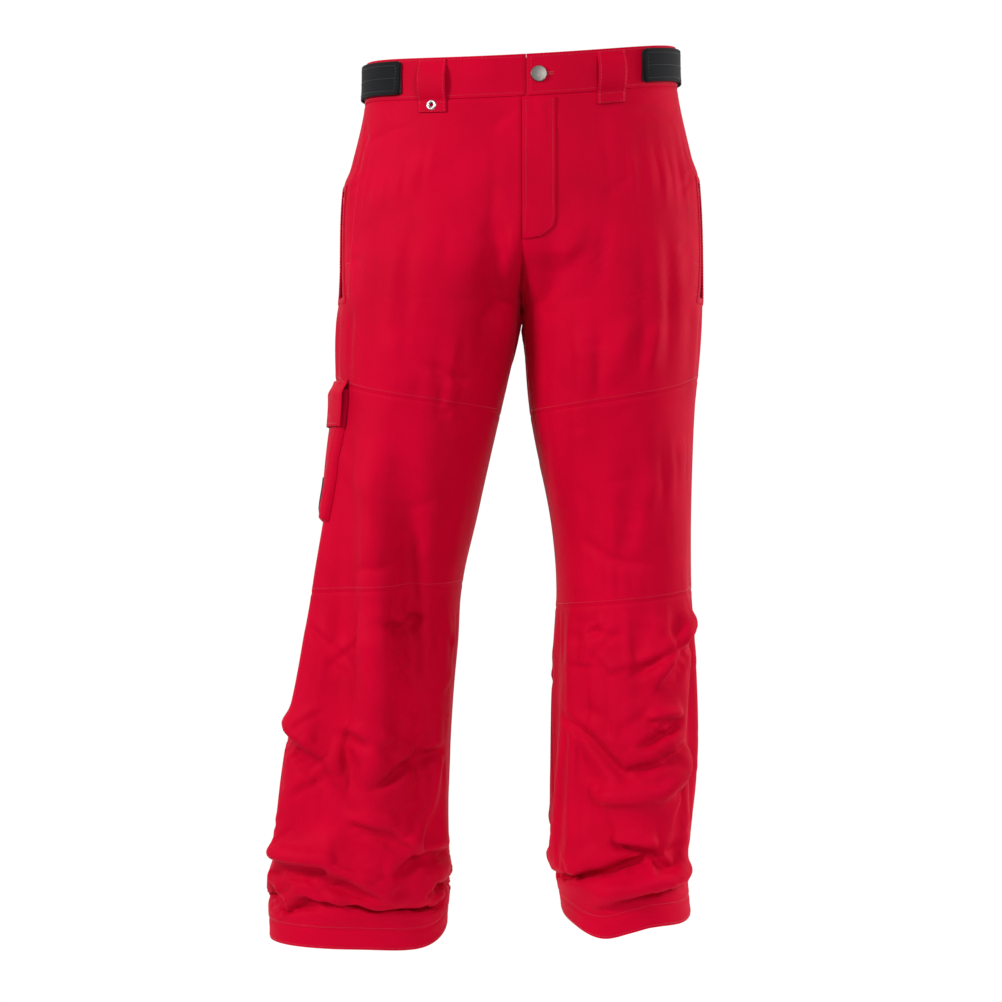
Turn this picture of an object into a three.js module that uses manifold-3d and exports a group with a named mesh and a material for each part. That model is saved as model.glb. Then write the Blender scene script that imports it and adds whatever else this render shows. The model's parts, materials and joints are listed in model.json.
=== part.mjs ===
// Waterproof snow trousers, standing as they are worn: a waistband with side tabs and belt loops, a zipped
// fly under a placket, seat and thigh panels, articulated knees, a cargo pocket on the wearer's right thigh,
// and lower legs with snow gaiters inside. Millimetres, +Z up, wearer facing -Y, wearer's left is +X.
// The origin is the middle of the waist opening.
import * as THREE from "three";
import { mergeVertices } from "three/addons/utils/BufferGeometryUtils.js";
import Module from "manifold-3d";

const wasm = await Module();
wasm.setup();

// ---- Driving dimensions ----------------------------------------------------------------------------------

// Heights are measured down from the waist opening.
const WAISTBAND_HEIGHT = 47;
const HIP_TOP = 169; // above this the body is one oval, below it the two legs begin to part
const CROTCH = 289;
const KNEE = 544;
const HEM = { left: 1020, right: 1041 };
const HEM_BAND = 22;

const WAIST_HALF_WIDTH = 181;
const HIP_HALF_WIDTH = 213;
const WAIST_TILT = 9.5; // how much higher the wearer's left side stands than the middle
const FRONT_DIP = 15;
const BACK_RISE = 20;
const ROUNDNESS = 2.2; // exponent of the oval sections, 2 is an ellipse

// Each leg below the crotch: distance of its middle from the centre, its width, and its depth to the front
// and to the back.
const LEG = {
  left: {
    crotch: { middle: 107, width: 208, front: 120, back: 132 },
    thigh: { middle: 106, width: 195, front: 112, back: 118 },
    knee: { middle: 118, width: 168, front: 100, back: 100 },
    shin: { middle: 125, width: 166, front: 90, back: 100 },
    calf: { middle: 124, width: 172, front: 90, back: 100 },
    ankle: { middle: 118, width: 158, front: 94, back: 100 },
    hem: { middle: 126, width: 154, front: 100, back: 104 },
  },
  right: {
    crotch: { middle: 112, width: 214, front: 120, back: 132 },
    thigh: { middle: 119.5, width: 193, front: 112, back: 118 },
    knee: { middle: 146, width: 186, front: 100, back: 100 },
    shin: { middle: 172, width: 190, front: 88, back: 100 },
    calf: { middle: 185, width: 202, front: 84, back: 98 },
    ankle: { middle: 190, width: 208, front: 80, back: 92 },
    hem: { middle: 192, width: 210, front: 76, back: 84 },
  },
};

const CLOTH = 2.4; // shell, membrane and lining together
const WAISTBAND_THICKNESS = 3.6;
const WAISTBAND_PROUD = 0.6;
const GAP = 0.5; // between layers of cloth that lie on each other
const LAP = 0.9; // between a wide panel and what lies on or under it
const SEAM_GAP = 0.5; // between panels that are sewn edge to edge
const JOINT_GAP = 3; // between panels that turn against each other

// The hip and knee axes run across the wearer. The panels meet there on a cylinder about each axis.
const HIP_AXIS = { y: 2, z: 85 - CROTCH, radius: 165 };
const KNEE_AXIS = { y: 5, z: -KNEE, radius: 132 };

const LOOP = { width: 32, top: 3, bottom: 62, middle: 101, stand: 10, thickness: 2, tab: 2.4 };
const BACK_LOOP_TURN = 0.83; // how far round the half waist, from centre front to centre back
const EYELET = { bore: 2.5, barrel: 3.1, flange: 5.9, thickness: 0.9, above_loop_end: 8 };

const TAB = { height: 38, top: 4, front: 138, rear_turn: 0.667, thickness: 2, corner: 5 };
const HOOK_PATCH = 0.8;
const LOOP_PATCH = 1.2;

const FLY = { length: 176, width: 38, slot: 28, zip_from_edge: 14, stand: 1.5, thickness: 1.8, corner: 27 };
const SHIELD = { depth: 7.4, thickness: 1.6, left: 34, right: 14 };
const BUTTON = { from_edge: 19, radius: 9, thickness: 2.7, post: 1.8, clearance: 0.3 };
const BUTTONHOLE = { length: 22, height: 5 };

const ZIP = { tape: 0.8, teeth: 1.5, teeth_width: 5, cover: 1.5, clearance: 0.3 };
const SLIDER = { length: 11, width: 9.6 };
const PULL = { length: 22, width: 5.4, thickness: 1.2 };
// The slot runs past the zip's lower end so that the hanging pull stays in it.
const HAND_ZIP = { turn: 0.45, top: 154, bottom: 277, tape_width: 22, slot: 14, depth: 1.2, tail: 8 };
const HAND_BAG = { below: 48, above: 14, front: 0.085, rear: 0.05, depth: 7.2, thickness: 2 };
const WELT = { margin: 7, thickness: 1.4 };

const CARGO = { turn: 1.5, top: 387, bottom: 538, half_turn: 0.098, wall: 1.2, depth: 10.5 };
const FLAP = { height: 54, thickness: 1.6, above_pocket: 11, hinge: 5 };
const BADGE = { width: 24, height: 40, thickness: 0.9, drop: 112, turn: 0.045 };

const GAITER = { top: 240, bottom: 52, cloth: 1.2, taper: 20, elastic: 22, elastic_thickness: 2.2 };

const RED = { color: 0xc8102e, roughness: 0.72, metalness: 0 };
const DARK_RED = { color: 0x8e0b20, roughness: 0.8, metalness: 0 };
const BLACK = { color: 0x15171a, roughness: 0.85, metalness: 0 };
const LINING = { color: 0x202226, roughness: 0.7, metalness: 0 };
const STEEL = { color: 0xb9b9bd, roughness: 0.3, metalness: 1 };
const GUNMETAL = { color: 0x6c6967, roughness: 0.42, metalness: 1 };
const RED_PLASTIC = { color: 0xa90f27, roughness: 0.5, metalness: 0 };

// ---- The outside surface of the trousers -----------------------------------------------------------------

const SIDES = { left: 1, right: -1 };
const clamp01 = (t) => Math.min(1, Math.max(0, t));
const smoothStep = (t) => clamp01(t) ** 2 * (3 - 2 * clamp01(t));
const mix = (a, b, t) => a + (b - a) * t;

// A smooth curve through [height, value] stations that run downwards.
function along(stations, height) {
  const last = stations.length - 1;
  if (height >= stations[0][0]) return stations[0][1];
  if (height <= stations[last][0]) return stations[last][1];
  const k = stations.findIndex((s, i) => i < last && height <= s[0] && height >= stations[i + 1][0]);
  const slope = (i) => {
    const a = stations[Math.max(0, i - 1)];
    const b = stations[Math.min(last, i + 1)];
    return (b[1] - a[1]) / (b[0] - a[0]);
  };
  const [h0, v0] = stations[k];
  const [h1, v1] = stations[k + 1];
  const step = h1 - h0;
  const t = (height - h0) / step;
  const bend = t * (1 - t) * step;
  return mix(v0, v1, smoothStep(t)) + bend * ((1 - t) * slope(k) - t * slope(k + 1));
}

// The stations of one side: out and in are distances from the centre plane.
function stationsOf(side) {
  const leg = LEG[side];
  const below = (share) => -mix(KNEE, HEM[side], share);
  const legStations = [
    [-CROTCH - 40, leg.crotch],
    [-CROTCH - 120, leg.thigh],
    [-KNEE, leg.knee],
    [below(0.3), leg.shin],
    [below(0.5), leg.calf],
    [below(0.72), leg.ankle],
    [below(1), leg.hem],
  ];
  const pick = (value) => legStations.map(([h, s]) => [h, value(s)]);
  return {
    out: [
      [0, WAIST_HALF_WIDTH],
      [-WAISTBAND_HEIGHT, WAIST_HALF_WIDTH + 2],
      [-(HAND_ZIP.top + WAISTBAND_HEIGHT) / 2, mix(WAIST_HALF_WIDTH, HIP_HALF_WIDTH, 0.42)],
      [-HAND_ZIP.top, HIP_HALF_WIDTH - 4],
      [-HAND_ZIP.bottom, HIP_HALF_WIDTH],
      ...pick((s) => s.middle + s.width / 2),
    ],
    in: [[-CROTCH, 0], ...pick((s) => s.middle - s.width / 2)],
    front: [[0, 112], [-WAISTBAND_HEIGHT, 114], [-224, 126], [-CROTCH, 124], ...pick((s) => s.front)],
    back: [
      [0, 112],
      [-WAISTBAND_HEIGHT, 118],
      [-139, 136],
      [-219, 148],
      [-CROTCH, 140],
      ...pick((s) => s.back),
    ],
  };
}

const STATIONS = { left: stationsOf("left"), right: stationsOf("right") };

function sectionAt(side, height) {
  const s = STATIONS[side];
  const out = along(s.out, height);
  const parting = smoothStep((height + CROTCH) / (CROTCH - HIP_TOP));
  const inner = height > -CROTCH ? -out * parting : along(s.in, height);
  return {
    middle: (out + inner) / 2,
    half: (out - inner) / 2,
    front: along(s.front, height),
    back: along(s.back, height),
  };
}

// The waist dips in front, rises behind and tilts to one side. This fades out over the hips.
function waistLift(x, y, height) {
  const fade = smoothStep((height + 249) / 200);
  const rise = y < 0 ? -FRONT_DIP : BACK_RISE;
  return fade * ((WAIST_TILT * x) / WAIST_HALF_WIDTH + rise * (y / 112) ** 2);
}

const power = (c) => Math.sign(c) * Math.abs(c) ** (2 / ROUNDNESS);

// turn runs 0 to 1 round the wearer's left half, from centre front (or inseam) over the side seam at 0.5 to
// centre back, and on from 1 to 2 round the right half, back to centre front.
function surfacePoint(turn, height) {
  const t = ((turn % 2) + 2) % 2;
  const side = t < 1 ? "left" : "right";
  const share = t < 1 ? t : 2 - t;
  const s = sectionAt(side, height);
  const open = Math.acos(clamp01(Math.max(0, s.middle) / s.half) ** (ROUNDNESS / 2));
  const angle = mix(open, 2 * Math.PI - open, share);
  const x = SIDES[side] * (s.middle - s.half * power(Math.cos(angle)));
  const sine = power(Math.sin(angle));
  const y = -sine * (sine > 0 ? s.front : s.back);
  return new THREE.Vector3(x, y, height + waistLift(x, y, height));
}

// The directions across, up and out of the surface. A leg's own turn wraps at its inseam.
function surfaceFrame(turn, height) {
  const du = 0.002;
  const dh = 0.5;
  const legwise = height <= -CROTCH;
  const wrap = (t) => (legwise ? Math.floor(turn) + ((t - Math.floor(turn) + 1) % 1) : t);
  const across = surfacePoint(wrap(turn + du), height).sub(surfacePoint(wrap(turn - du), height));
  const up = surfacePoint(turn, height + dh).sub(surfacePoint(turn, height - dh));
  const out = across.clone().cross(up).normalize();
  across.normalize();
  return { across, out, up: out.clone().cross(across) };
}

function offsetPoint(turn, height, out) {
  return surfacePoint(turn, height).addScaledVector(surfaceFrame(turn, height).out, out);
}

// The turn at which the front of the surface is x from the centre plane.
function frontTurn(x, height) {
  let low = 0;
  let high = 0.5;
  for (let i = 0; i < 30; i++) {
    const t = (low + high) / 2;
    if (surfacePoint(x < 0 ? 2 - t : t, height).x * Math.sign(x || 1) < Math.abs(x)) low = t;
    else high = t;
  }
  return x < 0 ? 2 - low : low;
}

// ---- Making solids ---------------------------------------------------------------------------------------

const valueOf = (x, ...args) => (typeof x === "function" ? x(...args) : x);

// A sheet of cloth on the surface, closed between its inner and outer offsets. Each limit may be a number or
// a function: from and to of the height, low and high of the turn and the offset, offsets of the share of
// the way across and up. A ring closes on itself. half keeps a piece on one side of the centre plane.
function sheet({ from, to, low, high, inner, outer, across, up, ring = false, half = 0 }) {
  const columns = ring ? across : across + 1;
  const place = (i, j, offset) => {
    const s = i / across;
    const t = j / up;
    const out = valueOf(offset, s, t);
    let height = valueOf(low, valueOf(from, 0), out);
    let turn = 0;
    for (let n = 0; n < 4; n++) {
      turn = mix(valueOf(from, height), valueOf(to, height), s);
      height = mix(valueOf(low, turn, out), valueOf(high, turn, out), t);
    }
    const p = offsetPoint(turn, height, out);
    if (half) p.x = half * Math.max(half * p.x, SEAM_GAP / 2);
    return p;
  };
  const positions = [];
  for (const offset of [outer, inner]) {
    for (let j = 0; j <= up; j++) {
      for (let i = 0; i < columns; i++) positions.push(...place(i, j, offset));
    }
  }
  const layer = columns * (up + 1);
  const id = (i, j, k) => k * layer + j * columns + (i % columns);
  const faces = [];
  const apart = (a, b) => {
    const [dx, dy, dz] = [0, 1, 2].map((k) => positions[3 * a + k] - positions[3 * b + k]);
    return Math.hypot(dx, dy, dz);
  };
  const quad = (a, b, c, d) =>
    apart(a, c) <= apart(b, d) ? faces.push(a, b, c, a, c, d) : faces.push(b, c, d, b, d, a);
  for (let j = 0; j < up; j++) {
    for (let i = 0; i < across; i++) {
      quad(id(i, j, 0), id(i + 1, j, 0), id(i + 1, j + 1, 0), id(i, j + 1, 0));
      quad(id(i, j, 1), id(i, j + 1, 1), id(i + 1, j + 1, 1), id(i + 1, j, 1));
    }
  }
  for (let i = 0; i < across; i++) {
    quad(id(i, 0, 1), id(i + 1, 0, 1), id(i + 1, 0, 0), id(i, 0, 0));
    quad(id(i, up, 0), id(i + 1, up, 0), id(i + 1, up, 1), id(i, up, 1));
  }
  for (let j = 0; !ring && j < up; j++) {
    quad(id(0, j, 1), id(0, j, 0), id(0, j + 1, 0), id(0, j + 1, 1));
    quad(id(across, j, 0), id(across, j, 1), id(across, j + 1, 1), id(across, j + 1, 0));
  }
  const geometry = new THREE.BufferGeometry();
  geometry.setAttribute("position", new THREE.Float32BufferAttribute(positions, 3));
  geometry.setIndex(faces);
  return geometry;
}

function toSolid(geometry) {
  const bare = geometry.index ? geometry.clone() : geometry;
  for (const name of ["normal", "uv"]) bare.deleteAttribute(name);
  const merged = mergeVertices(bare, 1e-4);
  return new wasm.Manifold(
    new wasm.Mesh({
      numProp: 3,
      vertProperties: new Float32Array(merged.attributes.position.array),
      triVerts: new Uint32Array(merged.index.array),
    }),
  );
}

function toGeometry(solid) {
  const mesh = solid.getMesh();
  const positions = [];
  for (let i = 0; i < mesh.numVert; i++) {
    positions.push(...mesh.vertProperties.slice(i * mesh.numProp, i * mesh.numProp + 3));
  }
  const geometry = new THREE.BufferGeometry();
  geometry.setAttribute("position", new THREE.Float32BufferAttribute(positions, 3));
  geometry.setIndex([...mesh.triVerts]);
  return geometry;
}

const cut = (geometry, ...cutters) =>
  toGeometry(cutters.reduce((solid, c) => solid.subtract(toSolid(c)), toSolid(geometry)));

function named(name, geometry, finish) {
  const mesh = new THREE.Mesh(geometry, new THREE.MeshStandardMaterial(finish));
  mesh.name = name;
  return mesh;
}

function box(width, depth, height, x = 0, y = 0, z = 0) {
  return new THREE.BoxGeometry(width, depth, height).translate(x, y, z);
}

// A flat plate in the XZ plane, front and back faces across Y.
function plate(shape, back, front, segments = 3) {
  const geometry = new THREE.ExtrudeGeometry(shape, {
    depth: back - front,
    bevelEnabled: false,
    curveSegments: segments,
  });
  return geometry.rotateX(Math.PI / 2).translate(0, back, 0);
}

function roundedPlate(width, height, corner) {
  const w = width / 2;
  const shape = new THREE.Shape();
  shape.moveTo(-w + corner, -height);
  shape.lineTo(w - corner, -height);
  shape.absarc(w - corner, -height + corner, corner, -Math.PI / 2, 0);
  shape.lineTo(w, -corner);
  shape.absarc(w - corner, -corner, corner, 0, Math.PI / 2);
  shape.lineTo(-w + corner, 0);
  shape.absarc(-w + corner, -corner, corner, Math.PI / 2, Math.PI);
  shape.lineTo(-w, -height + corner);
  shape.absarc(-w + corner, -height + corner, corner, Math.PI, 1.5 * Math.PI);
  return shape;
}

// Sets a group at a point of the surface: its X runs across, Y into the body, Z up the surface.
function setOnSurface(group, turn, height, out, upward = null) {
  const frame = surfaceFrame(turn, height);
  const up = (upward ?? frame.up).clone().normalize();
  const inwards = frame.out.clone().negate();
  const across = inwards.clone().cross(up).normalize();
  const axes = new THREE.Matrix4().makeBasis(across, up.clone().cross(across), up);
  group.setRotationFromMatrix(axes);
  group.position.copy(offsetPoint(turn, height, out));
  return group;
}

// ---- Panels ----------------------------------------------------------------------------------------------

// The height at which a sheet's point meets the cylinder about a joint's axis.
function onCylinder(axis, extra) {
  const radius = axis.radius + extra;
  return (turn, out = 0) => {
    let height = axis.z - radius;
    for (let i = 0; i < 12; i++) {
      const p = offsetPoint(turn, height, out);
      height += axis.z - Math.sqrt(radius ** 2 - (p.y - axis.y) ** 2) - p.z;
    }
    return height;
  };
}

const hipRim = onCylinder(HIP_AXIS, 0);
const thighTop = onCylinder(HIP_AXIS, JOINT_GAP);
const kneeRim = onCylinder(KNEE_AXIS, 0);
const shinTop = onCylinder(KNEE_AXIS, JOINT_GAP);
const SEAM_TURN = SEAM_GAP / 1300; // half the seam gap as a share of a leg's girth
const PANEL_TURNS = {
  left: { front: [0, 0.5 - SEAM_TURN], back: [0.5 + SEAM_TURN, 1] },
  right: { front: [1.5 + SEAM_TURN, 2], back: [1, 1.5 - SEAM_TURN] },
};

function upperPanel(side, face) {
  const [from, to] = PANEL_TURNS[side][face];
  return sheet({
    from,
    to,
    low: hipRim,
    high: -WAISTBAND_HEIGHT - SEAM_GAP,
    inner: -CLOTH,
    outer: 0,
    across: 9,
    up: 14,
    half: SIDES[side],
  });
}

// A panel of a leg, which stops short of the inseam as well as the side seam.
function legPanel(side, face, low, high, up) {
  const [from, to] = PANEL_TURNS[side][face];
  const whole = Math.floor(from) === from ? from : null;
  return sheet({
    from: whole === null ? from : from + SEAM_TURN,
    to: whole === null ? to - SEAM_TURN : to,
    low,
    high,
    inner: -CLOTH,
    outer: 0,
    across: 9,
    up,
  });
}

function waistband(from, to, half, across) {
  return sheet({
    from,
    to,
    low: -WAISTBAND_HEIGHT,
    high: 0,
    inner: WAISTBAND_PROUD - WAISTBAND_THICKNESS,
    outer: WAISTBAND_PROUD,
    across,
    up: 2,
    half,
  });
}

const BACK_SEAM = 0.72; // where the front waistband ends, round the half waist

const pelvis = new THREE.Group();

function addWaistband() {
  const end = BACK_SEAM;
  const shy = 0.001;
  const hole = box(BUTTONHOLE.length, 30, BUTTONHOLE.height);
  const middle = -WAISTBAND_HEIGHT / 2;
  const holder = setOnSurface(new THREE.Group(), frontTurn(BUTTON.from_edge + 4, middle), middle, 0);
  holder.updateMatrixWorld();
  hole.applyMatrix4(holder.matrixWorld);
  pelvis.add(
    named("waistband_front_left", cut(waistband(0, end - shy, 1, 16), hole), RED),
    named("waistband_front_right", waistband(2 - end + shy, 2, -1, 16), RED),
    named("waistband_back", waistband(end, 2 - end, 0, 12), RED),
  );
  const back = WAISTBAND_PROUD - WAISTBAND_THICKNESS - LAP;
  const underlap = sheet({
    from: (h) => frontTurn(-2, h) - 2,
    to: (h) => frontTurn(42, h),
    low: -WAISTBAND_HEIGHT + 4,
    high: -4,
    inner: back - 2.6,
    outer: back,
    across: 6,
    up: 1,
  });
  pelvis.add(named("waistband_underlap", underlap, DARK_RED));
}

function addUpperPanels() {
  const bottom = -WAISTBAND_HEIGHT - FLY.length;
  const flySlot = sheet({
    from: (h) => frontTurn(-1, h) - 2,
    to: (h) => frontTurn(FLY.slot, h),
    low: bottom - 4,
    high: -WAISTBAND_HEIGHT + 3,
    inner: -CLOTH - 4,
    outer: 4,
    across: 4,
    up: 6,
  });
  pelvis.add(
    named("front_panel_left", cut(upperPanel("left", "front"), flySlot, handSlot("left")), RED),
    named("front_panel_right", cut(upperPanel("right", "front"), handSlot("right")), RED),
    named("seat_panel_left", upperPanel("left", "back"), RED),
    named("seat_panel_right", upperPanel("right", "back"), RED),
  );
}

// ---- Fly and waist button --------------------------------------------------------------------------------

const FLY_TOP = -WAISTBAND_HEIGHT - 3;
const FLY_BOTTOM = -WAISTBAND_HEIGHT - FLY.length;

// A frame on a straight line between two heights at one turn, with its origin at the upper end.
function lineFrame(turnAt, top, bottom, out) {
  const a = offsetPoint(turnAt(top), top, out);
  const b = offsetPoint(turnAt(bottom), bottom, out);
  const middle = (top + bottom) / 2;
  const group = setOnSurface(new THREE.Group(), turnAt(middle), middle, 0, a.clone().sub(b));
  group.position.copy(a);
  group.userData.length = a.distanceTo(b);
  return group;
}

// A zip in its own frame: Z down the chain from the top end, Y into the garment. first is the depth of the
// slider's outer face, and tail is how far the tape runs on below the chain.
function zipParts(prefix, length, tapeWidth, first, tail = 0) {
  const chain = first + ZIP.cover + ZIP.clearance;
  const tape = chain + ZIP.teeth + ZIP.clearance;
  const teeth = box(ZIP.teeth_width, ZIP.teeth, length - 6, 0, chain + ZIP.teeth / 2, -length / 2);
  const whole = length + tail;
  const strip = box(tapeWidth, ZIP.tape, whole, 0, tape + ZIP.tape / 2, -whole / 2);
  const fixed = [
    named(`${prefix}_zip_tape`, strip, DARK_RED),
    named(`${prefix}_zip_teeth`, teeth, RED_PLASTIC),
  ];
  const w = SLIDER.width / 2;
  const channel = ZIP.teeth_width / 2 + ZIP.clearance;
  const shape = new THREE.Shape([
    new THREE.Vector2(-w, first),
    new THREE.Vector2(w, first),
    new THREE.Vector2(w, chain + ZIP.teeth),
    new THREE.Vector2(channel, chain + ZIP.teeth),
    new THREE.Vector2(channel, first + ZIP.cover),
    new THREE.Vector2(-channel, first + ZIP.cover),
    new THREE.Vector2(-channel, chain + ZIP.teeth),
    new THREE.Vector2(-w, chain + ZIP.teeth),
  ]);
  const body = new THREE.ExtrudeGeometry(shape, { depth: SLIDER.length, bevelEnabled: false });
  const slider = named(`${prefix}_zip_slider`, body.translate(0, 0, -SLIDER.length - 4), STEEL);
  return { fixed, slider };
}

// A zip's pull tab, which hangs from its top edge in the group's frame. face is the face that it hangs on.
function pullTab(name, face) {
  const shape = roundedPlate(PULL.width, PULL.length, 2);
  const eye = new THREE.Path().absarc(0, -PULL.length + 4, 1.2, 0, 2 * Math.PI, true);
  shape.holes.push(eye);
  const back = face - ZIP.clearance;
  return named(name, plate(shape, back, back - PULL.thickness, 4), STEEL);
}

function addFly() {
  const zipTurn = (h) => frontTurn(FLY.zip_from_edge, h);
  const line = lineFrame(zipTurn, FLY_TOP, FLY_BOTTOM + 4, 0);
  const sliderFace = 0.6; // under the panel's outer face
  const zip = zipParts("fly", line.userData.length, 28, sliderFace);
  const slider = new THREE.Group();
  slider.name = "fly_slider";
  const pull = pullTab("fly_zip_pull", sliderFace);
  pull.position.z = -7;
  slider.add(zip.slider, pull);
  line.add(...zip.fixed, slider);
  pelvis.add(line);

  const shield = sheet({
    from: (h) => frontTurn(-SHIELD.right, h) - 2,
    to: (h) => frontTurn(SHIELD.left, h),
    low: FLY_BOTTOM - 3,
    high: FLY_TOP,
    inner: -SHIELD.depth - SHIELD.thickness,
    outer: -SHIELD.depth,
    across: 6,
    up: 6,
  });
  pelvis.add(named("fly_shield", shield, DARK_RED));

  // The placket turns about its stitch line. Its lower outer corner is rounded.
  const flap = new THREE.Group();
  flap.name = "fly_flap";
  const hinge = lineFrame((h) => frontTurn(FLY.width, h), FLY_TOP, FLY_BOTTOM, FLY.stand);
  flap.position.copy(hinge.position);
  flap.userData.axis = new THREE.Vector3(0, 0, 1).applyEuler(hinge.rotation);
  const corner = (h) => Math.max(0, FLY_BOTTOM + FLY.corner - h) / FLY.corner;
  const placket = sheet({
    from: (h) => frontTurn(SEAM_GAP, h),
    to: (h) => frontTurn(mix(8, FLY.width, Math.sqrt(1 - Math.min(1, corner(h)) ** 2)), h),
    low: FLY_BOTTOM,
    high: FLY_TOP,
    inner: FLY.stand,
    outer: FLY.stand + FLY.thickness,
    across: 5,
    up: 16,
  }).translate(-hinge.position.x, -hinge.position.y, -hinge.position.z);
  flap.add(named("fly_placket", placket, RED));
  pelvis.add(flap);
}

function addWaistButton() {
  const height = -WAISTBAND_HEIGHT / 2;
  const place = setOnSurface(new THREE.Group(), frontTurn(BUTTON.from_edge, height), height, WAISTBAND_PROUD);
  const shelf = BUTTON.clearance + 0.8; // the head stands off the waistband
  const underlap = WAISTBAND_THICKNESS + LAP;
  const bore = BUTTON.post + 0.3;
  const top = shelf + BUTTON.thickness;
  const post = new THREE.LatheGeometry(
    [
      new THREE.Vector2(0, -underlap + 0.2),
      new THREE.Vector2(BUTTON.post, -underlap + 0.2),
      new THREE.Vector2(BUTTON.post, shelf + 0.9),
      new THREE.Vector2(0, shelf + 0.9),
    ],
    12,
  ).rotateX(Math.PI);
  const head = new THREE.LatheGeometry(
    [
      new THREE.Vector2(0, shelf + 1.3),
      new THREE.Vector2(bore, shelf + 1.3),
      new THREE.Vector2(bore, shelf),
      new THREE.Vector2(BUTTON.radius - 0.6, shelf),
      new THREE.Vector2(BUTTON.radius, shelf + 0.8),
      new THREE.Vector2(BUTTON.radius - 0.5, shelf + 1.7),
      new THREE.Vector2(BUTTON.radius * 0.6, top - 0.2),
      new THREE.Vector2(0, top),
    ],
    20,
  ).rotateX(Math.PI);
  const turning = new THREE.Group();
  turning.name = "waist_button";
  turning.add(named("waist_button_head", head, GUNMETAL));
  place.add(named("waist_button_post", post, STEEL), turning);
  pelvis.add(place);
}

// ---- Belt loops, eyelet and waist tabs -------------------------------------------------------------------

// A loop is sewn down at the top of the waistband and below its seam, and stands off between for the belt.
const LOOP_END = LOOP.bottom - WAISTBAND_HEIGHT; // length of the sewn lower end
function loopStand(share) {
  const rise = LOOP.bottom - LOOP.top;
  const belt = clamp01((share * rise - LOOP_END) / (rise - LOOP_END));
  const arch = Math.min(1, 2.2 * Math.sin(Math.PI * belt));
  return LOOP.tab + (LOOP.stand - LOOP.tab) * arch - 1.3 * smoothStep(2 * belt - 1);
}

function beltLoop(from, to, hole = null) {
  const geometry = sheet({
    from,
    to,
    low: -LOOP.bottom,
    high: -LOOP.top,
    inner: (s, t) => loopStand(t),
    outer: (s, t) => loopStand(t) + LOOP.thickness,
    across: 2,
    up: 12,
  });
  return hole ? cut(geometry, hole) : geometry;
}

function addBeltLoops() {
  const half = LOOP.width / 2;
  const at = (x) => (h) => frontTurn(x, h);
  const height = -LOOP.bottom + EYELET.above_loop_end;
  const place = setOnSurface(new THREE.Group(), frontTurn(-LOOP.middle, height), height, LOOP.tab);
  place.updateMatrixWorld();
  const hole = new THREE.CylinderGeometry(EYELET.barrel + 0.3, EYELET.barrel + 0.3, 12, 16);
  hole.applyMatrix4(place.matrixWorld);
  const reach = half / 470; // half the waist measures about 470
  const backLoop = (turn) => beltLoop(turn - reach, turn + reach);
  pelvis.add(
    named("belt_loop_front_left", beltLoop(at(LOOP.middle - half), at(LOOP.middle + half)), RED),
    named("belt_loop_front_right", beltLoop(at(-LOOP.middle - half), at(-LOOP.middle + half), hole), RED),
    named("belt_loop_back_left", backLoop(BACK_LOOP_TURN), RED),
    named("belt_loop_back_right", backLoop(2 - BACK_LOOP_TURN), RED),
  );

  // The eyelet's flange lies on the loop and its barrel goes through to the washer behind.
  const face = LOOP.thickness + 0.6;
  const lathe = (points) =>
    new THREE.LatheGeometry(points.map(([r, h]) => new THREE.Vector2(r, h)), 16).rotateX(Math.PI);
  const ring = lathe([
    [EYELET.bore, -0.9],
    [EYELET.barrel, -0.9],
    [EYELET.barrel, face],
    [EYELET.flange, face],
    [EYELET.flange, face + EYELET.thickness],
    [EYELET.bore, face + EYELET.thickness],
    [EYELET.bore, -0.9],
  ]);
  const washer = lathe([
    [EYELET.barrel + 0.3, -1.1],
    [EYELET.flange, -1.1],
    [EYELET.flange, -0.3],
    [EYELET.barrel + 0.3, -0.3],
    [EYELET.barrel + 0.3, -1.1],
  ]);
  place.add(named("eyelet_ring", ring, STEEL), named("eyelet_washer", washer, STEEL));
  place.name = "eyelet";
  pelvis.add(place);
}

function addWaistTab(side) {
  const sign = SIDES[side];
  const mirrored = (turn) => (h) => 2 - valueOf(turn, h);
  const turns = (near, far) => (sign > 0 ? [near, far] : [mirrored(far), mirrored(near)]);
  const layer = (inset, inner, outer, rear) => {
    const [from, to] = turns((h) => frontTurn(TAB.front - inset, h), rear);
    return sheet({
      from,
      to,
      low: -TAB.top - TAB.height + inset,
      high: -TAB.top - inset,
      inner,
      outer,
      across: 12,
      up: 1,
    });
  };
  const loops = WAISTBAND_PROUD + GAP;
  const hooks = loops + LOOP_PATCH + GAP;
  const strap = hooks + HOOK_PATCH + GAP;
  const patchEnd = 0.55;
  pelvis.add(named(`waist_loop_patch_${side}`, layer(1, loops, loops + LOOP_PATCH, patchEnd), BLACK));
  const flap = new THREE.Group();
  flap.name = `waist_tab_${side}_body`;
  const hingeTurn = sign > 0 ? TAB.rear_turn : 2 - TAB.rear_turn;
  flap.position.copy(offsetPoint(hingeTurn, -TAB.top - TAB.height / 2, strap));
  const back = flap.position.clone().negate().toArray();
  const webbing = layer(0, strap, strap + TAB.thickness, TAB.rear_turn);
  const hookPatch = layer(2, hooks, hooks + HOOK_PATCH, patchEnd - 0.01);
  flap.add(
    named(`waist_tab_${side}`, webbing.translate(...back), BLACK),
    named(`waist_hook_patch_${side}`, hookPatch.translate(...back), BLACK),
  );
  pelvis.add(flap);
}

// ---- Hand pockets ----------------------------------------------------------------------------------------

const handTurn = (side) => (side === "left" ? HAND_ZIP.turn : 2 - HAND_ZIP.turn);
const handLine = (side) => lineFrame(() => handTurn(side), -HAND_ZIP.top, -HAND_ZIP.bottom, 0);

function handSlot(side) {
  const line = handLine(side);
  line.updateMatrixWorld();
  const length = line.userData.length + HAND_ZIP.tail;
  return box(HAND_ZIP.slot, 24, length + 1, 0, 0, -length / 2 + 0.5).applyMatrix4(line.matrixWorld);
}

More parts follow.
